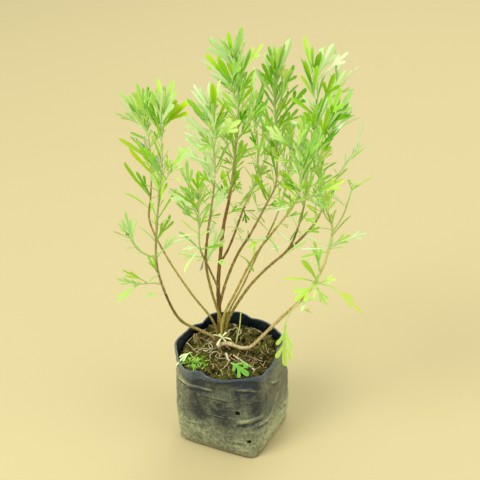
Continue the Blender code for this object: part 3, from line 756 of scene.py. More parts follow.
def rod(places, radii, sides, tones):
    """A closed rod through places, a ring of corners at each, its colour shading through tones."""
    shape, tone = no_wood()
    heading = (places[1] - places[0]).normalized()
    pose = Matrix.Translation(places[0]) @ heading.to_track_quat("Z", "Y").to_matrix().to_4x4()
    bmesh.ops.create_circle(shape, cap_ends=True, radius=radii[0], segments=sides, matrix=pose)
    rim, corners = list(shape.edges), set(shape.verts)
    last = len(places) - 1
    for number in range(last + 1):
        if number:
            rim, corners = grow_ring(shape, rim)
            ahead = (places[min(number + 1, last)] - places[number - 1]).normalized()
            turn = heading.rotation_difference(ahead)
            heading = ahead
            for corner in corners:
                offset = turn @ (corner.co - places[number - 1])
                corner.co = places[number] + offset * radii[number] / radii[number - 1]
        at = number / last * (len(tones) - 1)
        low = min(int(at), len(tones) - 2)
        colour = Vector(tones[low]).lerp(Vector(tones[low + 1]), at - low)
        for corner in corners:
            corner[tone] = (*colour, 1)
    bmesh.ops.edgeloop_fill(shape, edges=rim)
    bmesh.ops.recalc_face_normals(shape, faces=shape.faces[:])
    return shape


def stem_rod(seed, route, radii, step, sides, tones, first=0, last=None):
    """A route's stretch of stem, with swellings at its leaf scars. It tapers over the whole route."""
    draw = random.Random(seed)
    whole = len(route) - 1
    marks = trace(route, first, last or whole, step)
    start = draw.uniform(0, SCAR_GAP)
    places, thick, run = [], [], 0
    for number, (at, place) in enumerate(marks):
        run += (place - marks[max(number - 1, 0)][1]).length
        scar = (run + start) % SCAR_GAP / SCAR_GAP
        swell = 1 + SCAR_SWELL * hump(scar - 0.5, SCAR_WIDTH) + draw.uniform(-UNEVEN, UNEVEN)
        places.append(place)
        thick.append(between(*radii, at / whole) * swell)
    return rod(places, thick, sides, tones)


def bark_finish():
    """Thin bark, coloured by each stem's own tone, striped along the stem and flecked."""
    material, tree, shader = new_finish("bark", 0.72)
    tone = put(tree, "Attribute", {}, attribute_name="tone").outputs["Color"]
    stripe = grain(tree, object_place(tree, (1, 1, 0.12)), 900, 4, 0.6)
    patch = grain(tree, object_place(tree), 190, 3, 0.6)
    dark = put(tree, "Mix", {0: 1.0, 6: tone, 7: (0.46, 0.42, 0.34, 1)}, data_type="RGBA",
               blend_type="MULTIPLY").outputs[2]
    pale = mixed(tree, 0.35, tone, (0.62, 0.52, 0.36))
    colour = mixed(tree, ramp(tree, stripe, 0.36, 0.64), dark, tone)
    colour = mixed(tree, ramp(tree, patch, 0.56, 0.70, 0.0, 0.7), colour, pale)
    tree.links.new(colour, shader.inputs["Base Color"])
    bump(tree, shader, stripe, 0.0007, 0.8)
    return material


def make_crown():
    """Rootstock: a knobbly dome, with roots that leave it and dive into the soil."""
    shape, tone = no_wood()
    bmesh.ops.create_icosphere(shape, subdivisions=4, radius=1)
    for corner in shape.verts:
        knob = 1 + sum(high * noise.noise(corner.co * rate) for high, rate in CROWN_KNOBS)
        corner.co = Vector(a * b * knob for a, b in zip(corner.co, CROWN_HALF))
        corner.co += CROWN_PLACE + UP * (CROWN_TOP - CROWN_SINK)
        corner[tone] = (*CROWN_BROWN, 1)
    draw = random.Random("roots")
    for number in range(ROOT_FLARES):
        angle = number * math.tau / ROOT_FLARES + draw.uniform(-0.4, 0.4)
        reach = draw.uniform(*ROOT_REACH)
        route = []
        for share, rise in ROOT_DIVE:
            spot = CROWN_PLACE + outward(angle) * (ROOT_START + reach * share)
            spot += beside(UP, angle) * draw.uniform(-2, 2)
            route.append((spot.x, spot.y, ground(spot.x, spot.y) + rise * draw.uniform(0.5, 1)))
        join_in(shape, stem_rod(f"root {number}", route, ROOT_RADII, 3, 8, (DARK_BROWN, TAN, BROWN)))
    return shape


def make_woody_stems():
    """The bare foot of every stem, and the dry spurs left by lost side shoots."""
    shape, _ = no_wood()
    draw = random.Random("spurs")
    for name, stem in STEMS.items():
        route, leafy = stem["route"], stem["leafy"]
        join_in(shape, stem_rod(name, route, stem["radius"], WOOD_STEP, WOOD_SIDES, stem["bark"],
                                last=leafy))
        for _ in range(SPURS):
            at = draw.uniform(1, leafy)
            axis = direction(route, at)
            out = beside(axis, draw.uniform(0, math.tau)) + axis * draw.uniform(0.3, 1)
            run = out.normalized() * draw.uniform(*SPUR_LENGTH)
            places = [route_place(route, at) + run * share for share in (0, 0.5, 1)]
            join_in(shape, rod(places, SPUR_RADII, SPUR_SIDES, (stem["bark"][1], DARK_BROWN)))
    return shape


bark = bark_finish()
crown = add_piece("crown", make_crown(), [bark], smooth=60)
woody_stems = add_piece("woody_stems", make_woody_stems(), [bark], smooth=60)
for piece in (crown, woody_stems):
    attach(piece, "root")
    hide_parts("woody_crown")


# The leafy stems
# Each stem carries soft downy leaves by turns, steep and crowded towards its tip. A leaf is a strap
# or splits into three round-ended lobes. Its upper face is green and its underside silvery.

SIDE_STEMS = {
    "left": [
        {"route": [(-86, -20, 245), (-98, -27, 255), (-106, -35, 268), (-111, -42, 284)],
         "leaves": 3},
        {"route": [(-80, -13, 207), (-90, -22, 214), (-98, -32, 219), (-106, -40, 224)],
         "leaves": 2},
    ],
    "far_right": [
        {"route": [(106, -22, 276), (116, -33, 303), (121, -44, 330), (123, -52, 350)],
         "leaves": 2},
        {"route": [(87, -5, 408), (99, 6, 417), (107, 17, 427), (110, 27, 440)],
         "leaves": 5},
    ],
}
SIDE_RADIUS, TWIG_RADIUS = (1.0, 0.6), (0.85, 0.6)
TWIG_LENGTH, TWIG_STRETCH = (26, 42), (0.25, 0.8)
TWIG_LEAN, TWIG_BEND, TWIG_LEAVES = math.radians(30), 0.1, 3
GREEN_STEP, GREEN_SIDES = 6, 8
GOLDEN_TURN = math.radians(137.5)
LOW_LEAN, TOP_LEAN, LEAN_SPREAD = math.radians(48), math.radians(15), math.radians(9)
CROWDING = 0.72
FIRST_LEAF, FIRST_SIDE_LEAF = 0.15, 0.6
LEAF_LENGTH, SMALL_LEAF, LOBED_SHARE = (33, 44), 0.75, 0.52
CURL, LOBE_LIFT = (-0.05, 0.16), 0.15
LEAF_THICK, THIN_LEAF = 0.5, 0.4
LEAF_TWIST, SIDE_BEND = 0.6, 0.07
RIB_FOLD, RIB_FOLD_HALF = (0.15, 0.75), 3
LEAF_BREADTH = (0.62, 0.92)
LEAF_WAVE, LEAF_WAVE_RATE = 0.012, 5
TURNS_TRIED = tuple(math.radians(turn) for turn in (0, 25, -25, 50, -50, 80, -80, 120))
SHRINKS_TRIED = (1, 0.75)
SEAT_GAP = 0.3
SAME_PLACE, SPOTS_COMPARED = 0.75, (0.6, 0.8, 0.97)

# How silvery each leafy stem is, from 0 to 1
SILVER = {"front_left": 0.75, "outer_right": 0.85, "far_right": 0.45, "low_front_left": 0.4,
          "left": 0.3, "upper_right": 0.4}
USUAL_SILVER, SILVER_SPREAD, YOUNG_SILVER, MOST_SILVER = 0.16, 1.9, 0.10, 0.95

# Leaf blanks, as shares of the leaf's length: stations up the strap with their half widths, and
# lobes with their foot's station, the angle at which they leave, and stations of their own
SIMPLE = {
    "foot": 0.030, "lobes": (),
    "strap": ((0.30, 0.040), (0.55, 0.060), (0.78, 0.078), (0.92, 0.062), (1.0, 0.022)),
}
THREE_LOBED = {
    "foot": 0.026, "strap": ((0.18, 0.034), (0.37, 0.046), (0.455, 0.050), (0.54, 0.050),
                             (0.74, 0.064), (0.88, 0.072), (0.96, 0.052), (1.0, 0.020)),
    "lobes": ((2, 25, ((0.14, 0.042), (0.27, 0.060), (0.345, 0.050), (0.38, 0.018))),),
}
FIVE_LOBED = {
    "foot": 0.022, "strap": ((0.20, 0.043), (0.27, 0.045), (0.34, 0.047), (0.46, 0.051),
                             (0.535, 0.051), (0.61, 0.051), (0.76, 0.064), (0.90, 0.070),
                             (0.97, 0.050), (1.0, 0.020)),
    "lobes": ((1, 36, ((0.09, 0.036), (0.17, 0.050), (0.225, 0.042), (0.255, 0.016))),
              (4, 31, ((0.12, 0.040), (0.23, 0.056), (0.295, 0.046), (0.33, 0.018)))),
}
LONG_STALKED = {
    "foot": 0.022, "strap": ((0.40, 0.022), (0.58, 0.028), (0.635, 0.032), (0.69, 0.034),
                             (0.84, 0.050), (0.95, 0.046), (1.0, 0.018)),
    "lobes": ((2, 34, ((0.08, 0.030), (0.17, 0.042), (0.23, 0.016))),),
}


def draw_out(shape, row, stations):
    """Extrudes a row of three corners through stations of middle, half width and heading."""
    rows = []
    for middle, half, heading in stations:
        row, corners = grow_ring(shape, row)
        across = Vector((heading.y, -heading.x, 0))
        for corner, side in zip(sorted(corners, key=lambda c: c.co.dot(across)), (-1, 0, 1)):
            corner.co = middle + across * half * side
        rows.append(row)
    return rows


def leaf_blank(form):
    """A flat leaf of length 1 in two skins that meet at its cut edge, parted along its ribs.

    The layer rib is 1 on the upper skin's ribs, -1 on the lower's and 0 on the edge.
    """
    shape = bmesh.new()
    rib = shape.verts.layers.float.new("rib")
    foot = [shape.verts.new((side * form["foot"], 0, 0)) for side in (-1, 0, 1)]
    row = [shape.edges.new(pair) for pair in zip(foot, foot[1:])]
    up = Vector((0, 1, 0))
    draw_out(shape, row, [(Vector((0, y, 0)), half, up) for y, half in form["strap"]])
    for station, angle, lobe in form["lobes"]:
        y, half = form["strap"][station]
        low, high = form["strap"][station - 1][0], form["strap"][station + 1][0]
        for side in (-1, 1):
            seat = Vector((side * half, y, 0))
            turn = math.radians(angle)
            heading = Vector((side * math.sin(turn), math.cos(turn), 0))
            row = [edge for edge in shape.edges if edge.is_boundary
                   and all(corner.co.x * side > 0 and low - 0.01 < corner.co.y < high + 0.01
                           for corner in edge.verts)]
            draw_out(shape, row, [(seat + heading * out, wide, heading) for out, wide in lobe])
    shape.normal_update()
    bmesh.ops.recalc_face_normals(shape, faces=shape.faces[:])
    if shape.faces[:][0].normal.z < 0:
        bmesh.ops.reverse_faces(shape, faces=shape.faces[:])
    for corner in shape.verts:
        corner[rib] = 0 if corner.is_boundary else 1
    geom = shape.verts[:] + shape.edges[:] + shape.faces[:]
    lower = bmesh.ops.duplicate(shape, geom=geom)["geom"]
    faces = [item for item in lower if isinstance(item, bmesh.types.BMFace)]
    bmesh.ops.reverse_faces(shape, faces=faces)
    for face in faces:
        face.material_index = 1
    for item in lower:
        if isinstance(item, bmesh.types.BMVert):
            item[rib] = -item[rib]
            item.co.z -= abs(item[rib])
    bmesh.ops.remove_doubles(shape, verts=shape.verts[:], dist=0.0001)
    return shape


BLANKS = {name: leaf_blank(form) for name, form in
          (("simple", SIMPLE), ("three", THREE_LOBED), ("five", FIVE_LOBED),
           ("stalked", LONG_STALKED))}


def no_leaves():
    """An empty shape with a layer for each pattern that a leaf's finish reads."""
    shape = bmesh.new()
    for layer, kind in (("rib", "float"), ("blade", "float_vector"), ("tint", "float_color")):
        getattr(shape.verts.layers, kind).new(layer)
    return shape


def leaf_frame(place, along, up):
    """Frame of a leaf that runs from a place along a direction, its face as near up as it can."""
    side = along.cross(up).normalized()
    face = side.cross(along)
    pose = Matrix((side, along, face)).transposed().to_4x4()
    pose.translation = place
    return pose


def shaped_leaf(form, length, curl, tint, draw, thick=LEAF_THICK, broad=None):
    """A leaf of its real size: bent along its length, folded at its ribs, twisted and waved."""
    shape = BLANKS[form].copy()
    rib = shape.verts.layers.float["rib"]
    blade = shape.verts.layers.float_vector.new("blade")
    tints = shape.verts.layers.float_color.new("tint")
    twist = draw.uniform(-LEAF_TWIST, LEAF_TWIST)
    bend = draw.uniform(-SIDE_BEND, SIDE_BEND)
    fold = draw.uniform(*RIB_FOLD)
    breadth = broad or draw.uniform(*LEAF_BREADTH)
    wave = draw.uniform(0, math.tau)
    for corner in shape.verts:
        x, share = corner.co.x, corner.co.y
        corner[blade] = (x, share, corner[rib])
        corner[tints] = (*tint, 1)
        x *= length * breadth
        z = corner[rib] * thick / 2 + LOBE_LIFT * abs(x)
        z += math.sin(fold) * min(abs(x), RIB_FOLD_HALF)
        z += LEAF_WAVE * length * math.sin(LEAF_WAVE_RATE * share + wave) * share
        turn = twist * share
        x, z = x * math.cos(turn) - z * math.sin(turn), x * math.sin(turn) + z * math.cos(turn)
        corner.co = (x + bend * length * share ** 2, share * length, z - curl * length * share ** 2)
    return shape


def leaf_rule(seed, route, first, last, count):
    """Leaves by turns round a stem: steep near the tip, leaning out below."""
    draw = random.Random(seed)
    turn = draw.uniform(0, math.tau)
    for number in range(count):
        share = (number + 0.5) / count
        at = between(first, last, share ** CROWDING)
        lean = between(LOW_LEAN, TOP_LEAN, share) + draw.uniform(-LEAN_SPREAD, LEAN_SPREAD)
        lobed = draw.random() < LOBED_SHARE
        length = draw.uniform(*LEAF_LENGTH) * (1 if lobed else SMALL_LEAF)
        yield {"place": route_place(route, at), "axis": direction(route, at), "turn": turn,
               "lean": lean, "length": length, "curl": draw.uniform(*CURL),
               "form": "three" if lobed else "simple", "share": share}
        turn += GOLDEN_TURN


def leaf_pose(leaf, extra_turn):
    """The frame of a leaf that leans out from its stem, its upper face to the stem."""
    out = beside(leaf["axis"], leaf["turn"] + extra_turn)
    along = leaf["axis"] * math.cos(leaf["lean"]) + out * math.sin(leaf["lean"])
    up = leaf["axis"] * math.sin(leaf["lean"]) - out * math.cos(leaf["lean"])
    return leaf_frame(leaf["place"], along, up)


def solid_tree(node):
    """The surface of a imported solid, in millimetres."""
    return surface_tree(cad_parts[node].data)


def seated_as_solid(leaf, tree):
    """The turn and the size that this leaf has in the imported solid, or None if it isn't there."""
    for shrink in SHRINKS_TRIED:
        for extra_turn in TURNS_TRIED:
            pose = leaf_pose(leaf, extra_turn)
            length = leaf["length"] * shrink
            spots = [Vector((0, share * length, -leaf["curl"] * length * share ** 2))
                     for share in SPOTS_COMPARED]
            if all(tree.find_nearest(pose @ spot, SAME_PLACE)[0] for spot in spots):
                return pose, length
    return None


def leaf_finish(name, deep, bright, silvery, yellow):
    """Soft leaf tissue: each leaf has its own green, with a paler rib and stalk, and a pale edge
    that is partly silvery down and partly a painted highlight.
    """
    material, tree, shader = new_finish(name, 0.5)
    tint, blade = (put(tree, "Attribute", {}, attribute_name=layer).outputs["Vector"]
                   for layer in ("tint", "blade"))
    own_green, own_silver, own_yellow = put(tree, "SeparateXYZ", {"Vector": tint}).outputs
    aside, along, inward = put(tree, "SeparateXYZ", {"Vector": blade}).outputs
    ripe = sums(tree, "MULTIPLY", own_yellow, ramp(tree, along, 0.2, 1.0, 0.25, 1.0))
    colour = mixed(tree, ripe, mixed(tree, own_green, deep, bright), yellow)
    colour = mixed(tree, own_silver, colour, silvery)
    rib = ramp(tree, sums(tree, "ABSOLUTE", aside, 0), 0.0, 0.012, 0.16, 0.0)
    # The pale edge is partly silvery down and partly a painted highlight.
    edge = ramp(tree, sums(tree, "ABSOLUTE", inward, 0), 0.0, 0.26, 0.42, 0.0)
    foot = ramp(tree, along, 0.0, 0.40, 0.26, 0.0)
    pale = sums(tree, "MAXIMUM", sums(tree, "MAXIMUM", rib, foot), edge)
    colour = mixed(tree, pale, colour, silvery)
    tree.links.new(colour, shader.inputs["Base Color"])
    shader.inputs["Specular IOR Level"].default_value = 0.14
    shader.inputs["Sheen Weight"].default_value = 0.03
    shader.inputs["Sheen Roughness"].default_value = 0.5
    bump(tree, shader, grain(tree, object_place(tree), 420, 3, 0.6), 0.0004, 0.5)
    return material


def green_stem_finish():
    """The soft skin of young stems, with paler stripes along it."""
    material, tree, shader = new_finish("green_stem", 0.6)
    tone = put(tree, "Attribute", {}, attribute_name="tone").outputs["Color"]
    stripe = grain(tree, object_place(tree, (1, 1, 0.15)), 800, 3, 0.6)
    colour = mixed(tree, ramp(tree, stripe, 0.4, 0.65, 0.0, 0.32), tone, (0.70, 0.78, 0.46))
    tree.links.new(colour, shader.inputs["Base Color"])
    bump(tree, shader, stripe, 0.0004, 0.6)
    return material


def twig_routes(name, stem):
    """Short side twigs, by turns round the leafy stretch, each as a route of three points."""
    draw = random.Random(name + " twigs")
    turn = draw.uniform(0, math.tau)
    last = len(stem["route"]) - 1
    for number in range(stem["twigs"]):
        share = between(*TWIG_STRETCH, (number + 0.5) / stem["twigs"])
        at = between(stem["leafy"], last, share)
        axis = direction(stem["route"], at)
        out = beside(axis, turn + number * GOLDEN_TURN)
        along = axis * math.cos(TWIG_LEAN) + out * math.sin(TWIG_LEAN)
        start = route_place(stem["route"], at)
        reach = draw.uniform(*TWIG_LENGTH)
        yield [start, start + along * reach / 2, start + along.lerp(axis, TWIG_BEND) * reach]


def leafy_stretches(name, stem):
    """A stem's top, its side stems and its twigs: each one's route, the places in it where its
    green rod and its leaves begin, the number of leaves, and its radii."""
    yield stem["route"], stem["leafy"], stem["leafy"] + FIRST_LEAF, stem["leaves"], stem["radius"]
    for side in SIDE_STEMS.get(name, ()):
        yield side["route"], 0, FIRST_SIDE_LEAF, side["leaves"], SIDE_RADIUS
    for twig in twig_routes(name, stem):
        yield twig, 0, FIRST_SIDE_LEAF, TWIG_LEAVES, TWIG_RADIUS


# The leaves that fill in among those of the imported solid: as shares of their number and size, with
# their forms and lean, and the small ones at the tips, in the axils and low on the wood
MORE_LEAVES, MORE_ON_TWIGS = 1.0, 1.2
MORE_SIZE = (0.45, 0.86)
MORE_FORMS = ("three", "three", "simple", "simple", "simple", "stalked")
MORE_LEAN = (0.4, 1.15)
DROOP = 0.45
TIP_LEAVES, TWIG_TIP_LEAVES, TIP_SPAN = 4, 3, 9
TIP_LENGTH, TIP_LEANS, TIP_FORMS = (9, 18), (4, 30), ("simple", "three", "three")
AXIL_SHARE, AXIL_LENGTH, AXIL_LEAN, AXIL_TURN = 0.5, (9, 19), 0.6, 0.3
LOWER_LEAVES, LOWER_REACH, LOWEST = 3, 1.2, 176
LOWER_LENGTH, LOWER_LEAN, LOWER_CURL = (17, 34), (38, 84), (0.05, 0.6)
FOOT_FREE = 0.16
NEAR = 62
GREEN_TIP = (0.60, 0.74, 0.38)

# Leaves that stand out, by stem: the place in its route at which the leaf leaves it, its tip, its
# form, how silvery it is in tenths, and its breadth in tenths of the usual
PICKED = {
    "left": (
        (5.5, -69, -27, 301, "three", 1, 12), (5.8, -85, -25, 299, "simple", 0, 10),
        (6.0, -88, -21, 317, "simple", 2, 8), (6.0, -60, -14, 326, "simple", 1, 6),
        (6.5, -86, -25, 348, "simple", 3, 9), (6.7, -108, -37, 387, "simple", 0, 8),
        (6.8, -99, -28, 390, "simple", 1, 7), (6.8, -92, -28, 383, "three", 0, 9),
        (7.0, -114, -47, 404, "simple", 1, 6), (7.0, -68, -30, 368, "simple", 2, 10),
        (7.7, -78, -38, 420, "simple", 0, 15), (7.8, -85, -25, 428, "three", 0, 12),
        (8.0, -67, -30, 413, "simple", 1, 10), (8.0, -47, -30, 437, "three", 0, 13),
        (8.2, -90, -35, 437, "three", 0, 11), (8.2, -56, -45, 451, "three", 7, 9),
        (8.2, -54, -32, 432, "simple", 0, 12), (8.3, -59, -23, 454, "three", 3, 10),
        (8.5, -83, -27, 445, "three", 1, 10), (8.6, -69, -30, 450, "simple", 2, 10),
        (8.7, -74, -29, 458, "simple", 3, 11),
    ),
    "left_back": (
        (5.0, -120, 36, 333, "simple", 0, 12), (5.0, -108, 56, 314, "three", 0, 12),
        (5.8, -101, 58, 336, "simple", 2, 10), (6.5, -83, 50, 367, "simple", 3, 8),
        (6.7, -113, 51, 365, "simple", 3, 11), (7.0, -121, 47, 404, "simple", 9, 7),
        (7.0, -101, 58, 389, "three", 3, 10), (7.2, -115, 50, 399, "simple", 1, 8),
        (7.2, -105, 55, 380, "three", 1, 10), (7.5, -107, 63, 399, "simple", 1, 8),
    ),
    "low_front_left": (
        (1.2, -61, -10, 246, "three", 5, 8), (1.2, -41, -6, 232, "simple", 1, 8),
        (2.4, -66, -22, 267, "simple", 6, 7), (2.5, -60, -23, 275, "simple", 5, 7),
        (2.5, -57, -19, 290, "simple", 2, 6), (2.9, -26, -28, 295, "simple", 0, 11),
        (3.2, -53, -31, 310, "three", 2, 10), (3.5, -45, -38, 319, "three", 0, 14),
        (3.5, -28, -37, 337, "simple", 2, 10), (3.5, -21, -45, 336, "simple", 5, 9),
        (3.8, -57, -49, 348, "simple", 3, 10), (3.8, -49, -40, 350, "simple", 6, 10),
        (4.0, -38, -51, 365, "three", 0, 12),
    ),
    "front_left": (
        (3.0, -12, -14, 276, "three", 5, 8), (3.8, -21, -19, 289, "three", 9, 15),
        (4.5, -35, -20, 290, "simple", 0, 10), (4.5, -18, -22, 289, "simple", 0, 13),
        (4.6, -13, -23, 301, "simple", 0, 14), (4.7, -33, -25, 295, "simple", 1, 14),
        (5.2, -32, -21, 339, "simple", 3, 10), (5.2, -13, -22, 333, "simple", 0, 12),
        (5.6, -38, -29, 355, "three", 1, 12), (5.9, -10, -37, 372, "simple", 3, 9),
        (6.0, -35, -31, 372, "simple", 5, 9), (6.2, -47, -47, 381, "simple", 9, 7),
        (6.2, -31, -42, 386, "three", 7, 10), (6.3, -12, -39, 396, "simple", 7, 10),
        (6.6, -50, -38, 395, "simple", 9, 8), (6.7, -34, -49, 410, "three", 2, 11),
        (6.7, -27, -38, 409, "simple", 8, 11), (6.8, -50, -44, 408, "simple", 9, 8),
        (7.0, -50, -45, 426, "three", 8, 10), (7.0, -45, -49, 425, "simple", 7, 10),
        (7.0, -11, -49, 425, "simple", 8, 10), (7.2, -10, -54, 433, "simple", 1, 11),
        (7.3, -43, -52, 448, "simple", 1, 11), (7.3, -40, -50, 436, "simple", 2, 9),
        (7.3, -30, -43, 428, "simple", 0, 13), (7.3, -17, -38, 443, "simple", 9, 12),
        (7.3, -6, -45, 438, "simple", 0, 9), (7.5, -35, -49, 433, "three", 4, 10),
        (7.5, -25, -54, 446, "simple", 8, 10), (7.5, -16, -60, 464, "simple", 0, 12),
        (7.7, -21, -43, 450, "simple", 6, 11), (7.8, -44, -47, 452, "simple", 8, 9),
        (7.8, -31, -59, 462, "simple", 9, 9), (8.0, -39, -45, 459, "simple", 9, 8),
        (8.0, -27, -46, 462, "simple", 9, 9),
    ),
    "centre": (
        (4.9, 10, 9, 293, "simple", 8, 8), (5.0, -15, 7, 320, "simple", 0, 11),
        (5.0, -11, 13, 336, "simple", 0, 14), (5.2, 8, 8, 324, "three", 0, 12),
        (5.3, -14, -1, 336, "simple", 0, 11), (5.3, 5, 9, 336, "simple", 0, 12),
        (5.5, -8, 7, 339, "simple", 1, 10), (5.5, 3, 7, 339, "simple", 0, 12),
        (5.5, 10, 6, 310, "simple", 9, 14), (5.6, 10, 7, 316, "simple", 1, 9),
        (5.7, 7, 1, 333, "three", 0, 12), (5.8, 8, 1, 342, "three", 0, 12),
        (6.0, -15, 7, 345, "simple", 1, 10), (6.0, 11, 2, 353, "simple", 0, 10),
        (6.2, -13, -2, 356, "three", 0, 11), (6.2, -8, 0, 333, "simple", 3, 9),
        (6.3, -13, 1, 369, "simple", 0, 11), (6.3, 16, -4, 377, "simple", 1, 11),
        (6.3, 25, 2, 362, "simple", 2, 8), (6.5, -5, -3, 388, "simple", 0, 11),
        (6.6, -13, 6, 389, "three", 2, 10), (6.8, 18, 0, 398, "three", 0, 11),
        (7.2, 14, -1, 415, "three", 0, 13), (7.4, -7, 1, 418, "simple", 1, 9),
        (7.7, -2, -4, 433, "simple", 9, 11), (7.8, 19, -1, 439, "simple", 0, 13),
        (8.1, 9, 2, 460, "simple", 0, 14), (8.1, 17, -6, 450, "three", 1, 12),
        (8.2, -33, -14, 479, "simple", 9, 6), (8.2, -26, -8, 475, "stalked", 0, 12),
        (8.2, -22, -11, 459, "simple", 9, 10), (8.2, -16, -7, 470, "simple", 0, 13),
        (8.3, -3, -8, 467, "simple", 0, 12), (8.3, 19, 9, 476, "simple", 1, 7),
        (8.4, 10, 4, 467, "simple", 1, 11), (8.4, 29, -17, 494, "stalked", 3, 8),
        (8.6, -22, -9, 495, "three", 6, 11), (8.7, -14, 4, 484, "simple", 5, 11),
        (8.8, -10, -4, 489, "simple", 1, 9), (8.8, -5, 5, 496, "simple", 0, 15),
        (8.8, 0, -13, 499, "simple", 5, 10), (8.9, 8, -9, 506, "simple", 4, 12),
        (8.9, 8, -4, 492, "simple", 0, 12), (8.9, 13, 2, 491, "simple", 7, 8),
    ),
    "inner_back": (
        (2.0, -3, 27, 252, "simple", 0, 10), (2.0, 1, 29, 268, "three", 8, 14),
        (2.0, 9, 27, 250, "simple", 1, 8), (2.8, 25, 39, 272, "simple", 1, 11),
        (2.9, 15, 35, 259, "three", 0, 12), (3.8, 7, 46, 273, "simple", 4, 9),
        (3.9, 32, 41, 303, "simple", 4, 8), (4.0, 9, 43, 284, "simple", 3, 10),
        (4.0, 15, 40, 279, "simple", 6, 8), (4.2, 14, 39, 328, "simple", 2, 8),
        (4.3, 28, 48, 320, "simple", 0, 10), (4.5, 40, 47, 279, "simple", 0, 10),
        (4.8, 32, 51, 305, "simple", 3, 9), (5.0, 15, 49, 326, "simple", 0, 10),
        (5.1, 32, 53, 354, "simple", 0, 13), (5.2, 38, 54, 340, "three", 0, 11),
        (5.4, 19, 60, 360, "three", 0, 12), (6.0, 38, 71, 397, "simple", 2, 7),
        (6.2, 31, 60, 412, "simple", 1, 9), (6.5, 37, 53, 442, "stalked", 1, 14),
        (6.8, 22, 64, 434, "simple", 8, 9),
    ),
    "centre_right": (
        (2.8, 1, 17, 249, "simple", 8, 9), (2.8, 41, 22, 245, "simple", 9, 9),
        (2.9, 15, 20, 258, "simple", 0, 13), (3.6, 24, 22, 279, "simple", 8, 9),
        (3.6, 34, 22, 266, "simple", 0, 15), (3.8, 58, 24, 283, "simple", 8, 9),
        (3.9, 27, 20, 280, "three", 5, 13), (3.9, 51, 20, 292, "three", 0, 13),
        (4.0, 26, 23, 287, "simple", 7, 8), (4.2, 22, 25, 325, "simple", 0, 14),
        (4.2, 40, 20, 314, "simple", 4, 10), (4.9, 35, 25, 328, "three", 3, 10),
        (5.0, 63, 22, 307, "simple", 0, 11), (5.0, 70, 29, 302, "simple", 0, 9),
        (5.2, 58, 24, 330, "simple", 2, 10), (5.2, 62, 26, 320, "simple", 0, 10),
        (5.3, 32, 24, 343, "simple", 0, 10), (5.3, 56, 26, 340, "simple", 9, 10),
        (5.5, 32, 24, 357, "three", 0, 13), (5.5, 40, 20, 369, "simple", 0, 13),
        (5.5, 56, 29, 361, "simple", 0, 13), (5.7, 34, 24, 376, "simple", 7, 9),
        (6.0, 67, 28, 403, "stalked", 1, 13), (6.1, 56, 30, 398, "three", 0, 14),
        (6.3, 27, 32, 398, "simple", 4, 7), (6.3, 77, 35, 422, "stalked", 0, 13),
        (6.4, 60, 22, 424, "three", 0, 12), (6.5, 53, 30, 411, "simple", 0, 12),
        (6.6, 25, 29, 414, "simple", 3, 8), (6.7, 33, 32, 423, "simple", 2, 9),
        (6.8, 54, 24, 433, "simple", 3, 10), (6.8, 65, 30, 448, "stalked", 1, 12),
        (6.9, 49, 30, 428, "simple", 0, 11), (7.0, 23, 33, 445, "simple", 8, 9),
        (7.0, 42, 29, 439, "simple", 0, 15), (7.2, 29, 26, 454, "three", 0, 12),
        (7.2, 33, 31, 463, "simple", 8, 8), (7.5, 61, 28, 481, "simple", 7, 12),
        (7.7, 38, 24, 462, "simple", 0, 12), (7.7, 51, 16, 479, "simple", 1, 11),
        (7.8, 42, 30, 471, "simple", 3, 11), (7.8, 47, 29, 467, "simple", 0, 14),
    ),
    "far_right": (
        (9.1, 81, -30, 247, "simple", 6, 7), (9.7, 73, -29, 253, "simple", 1, 8),
        (9.8, 74, -26, 261, "simple", 9, 6), (9.8, 120, -22, 260, "simple", 3, 7),
        (9.9, 75, -33, 282, "simple", 9, 6), (9.9, 127, -25, 275, "three", 4, 11),
        (9.9, 143, -34, 288, "stalked", 9, 8), (11.9, 106, -21, 329, "simple", 1, 9),
        (12.0, 88, -14, 326, "simple", 3, 9), (12.6, 111, -17, 346, "simple", 1, 9),
        (12.9, 94, -7, 360, "simple", 0, 13), (13.0, 109, -10, 357, "simple", 3, 8),
        (13.3, 83, -13, 377, "three", 6, 11), (13.3, 101, -9, 382, "three", 0, 12),
        (13.3, 109, -6, 388, "simple", 1, 9), (13.5, 108, -12, 398, "simple", 0, 12),
        (13.5, 124, -11, 415, "simple", 9, 7), (13.6, 100, -20, 420, "three", 0, 12),
        (13.6, 114, -19, 428, "stalked", 0, 14), (13.7, 113, -16, 442, "stalked", 2, 12),
        (13.7, 121, -22, 441, "stalked", 4, 11), (13.9, 74, -12, 416, "three", 0, 14),
        (14.0, 61, -13, 403, "simple", 9, 8), (14.0, 68, -14, 412, "simple", 0, 10),
        (14.0, 104, -4, 440, "simple", 5, 8), (14.1, 116, -1, 458, "stalked", 5, 9),
        (14.2, 101, -16, 458, "stalked", 0, 12), (14.3, 61, -15, 433, "simple", 0, 10),
        (14.3, 92, -4, 428, "simple", 1, 10), (14.5, 71, -6, 431, "simple", 9, 10),
        (14.7, 77, -5, 441, "simple", 8, 9), (14.9, 71, -9, 456, "simple", 2, 10),
        (15.1, 86, -11, 464, "simple", 0, 12), (15.2, 73, 1, 466, "simple", 0, 14),
        (15.2, 84, 1, 474, "simple", 0, 9), (15.4, 102, 1, 485, "three", 6, 11),
        (15.4, 116, 2, 477, "stalked", 9, 9), (15.6, 90, -3, 477, "simple", 0, 14),
        (15.7, 92, 4, 481, "simple", 2, 8), (15.8, 72, 6, 491, "simple", 3, 12),
        (15.9, 79, 1, 482, "simple", 1, 10),
    ),
    "outer_right": (
        (1.2, 69, 6, 268, "simple", 3, 8), (1.3, 95, 2, 273, "three", 1, 13),
        (1.9, 83, 11, 259, "simple", 0, 12), (1.9, 92, 12, 294, "simple", 2, 9),
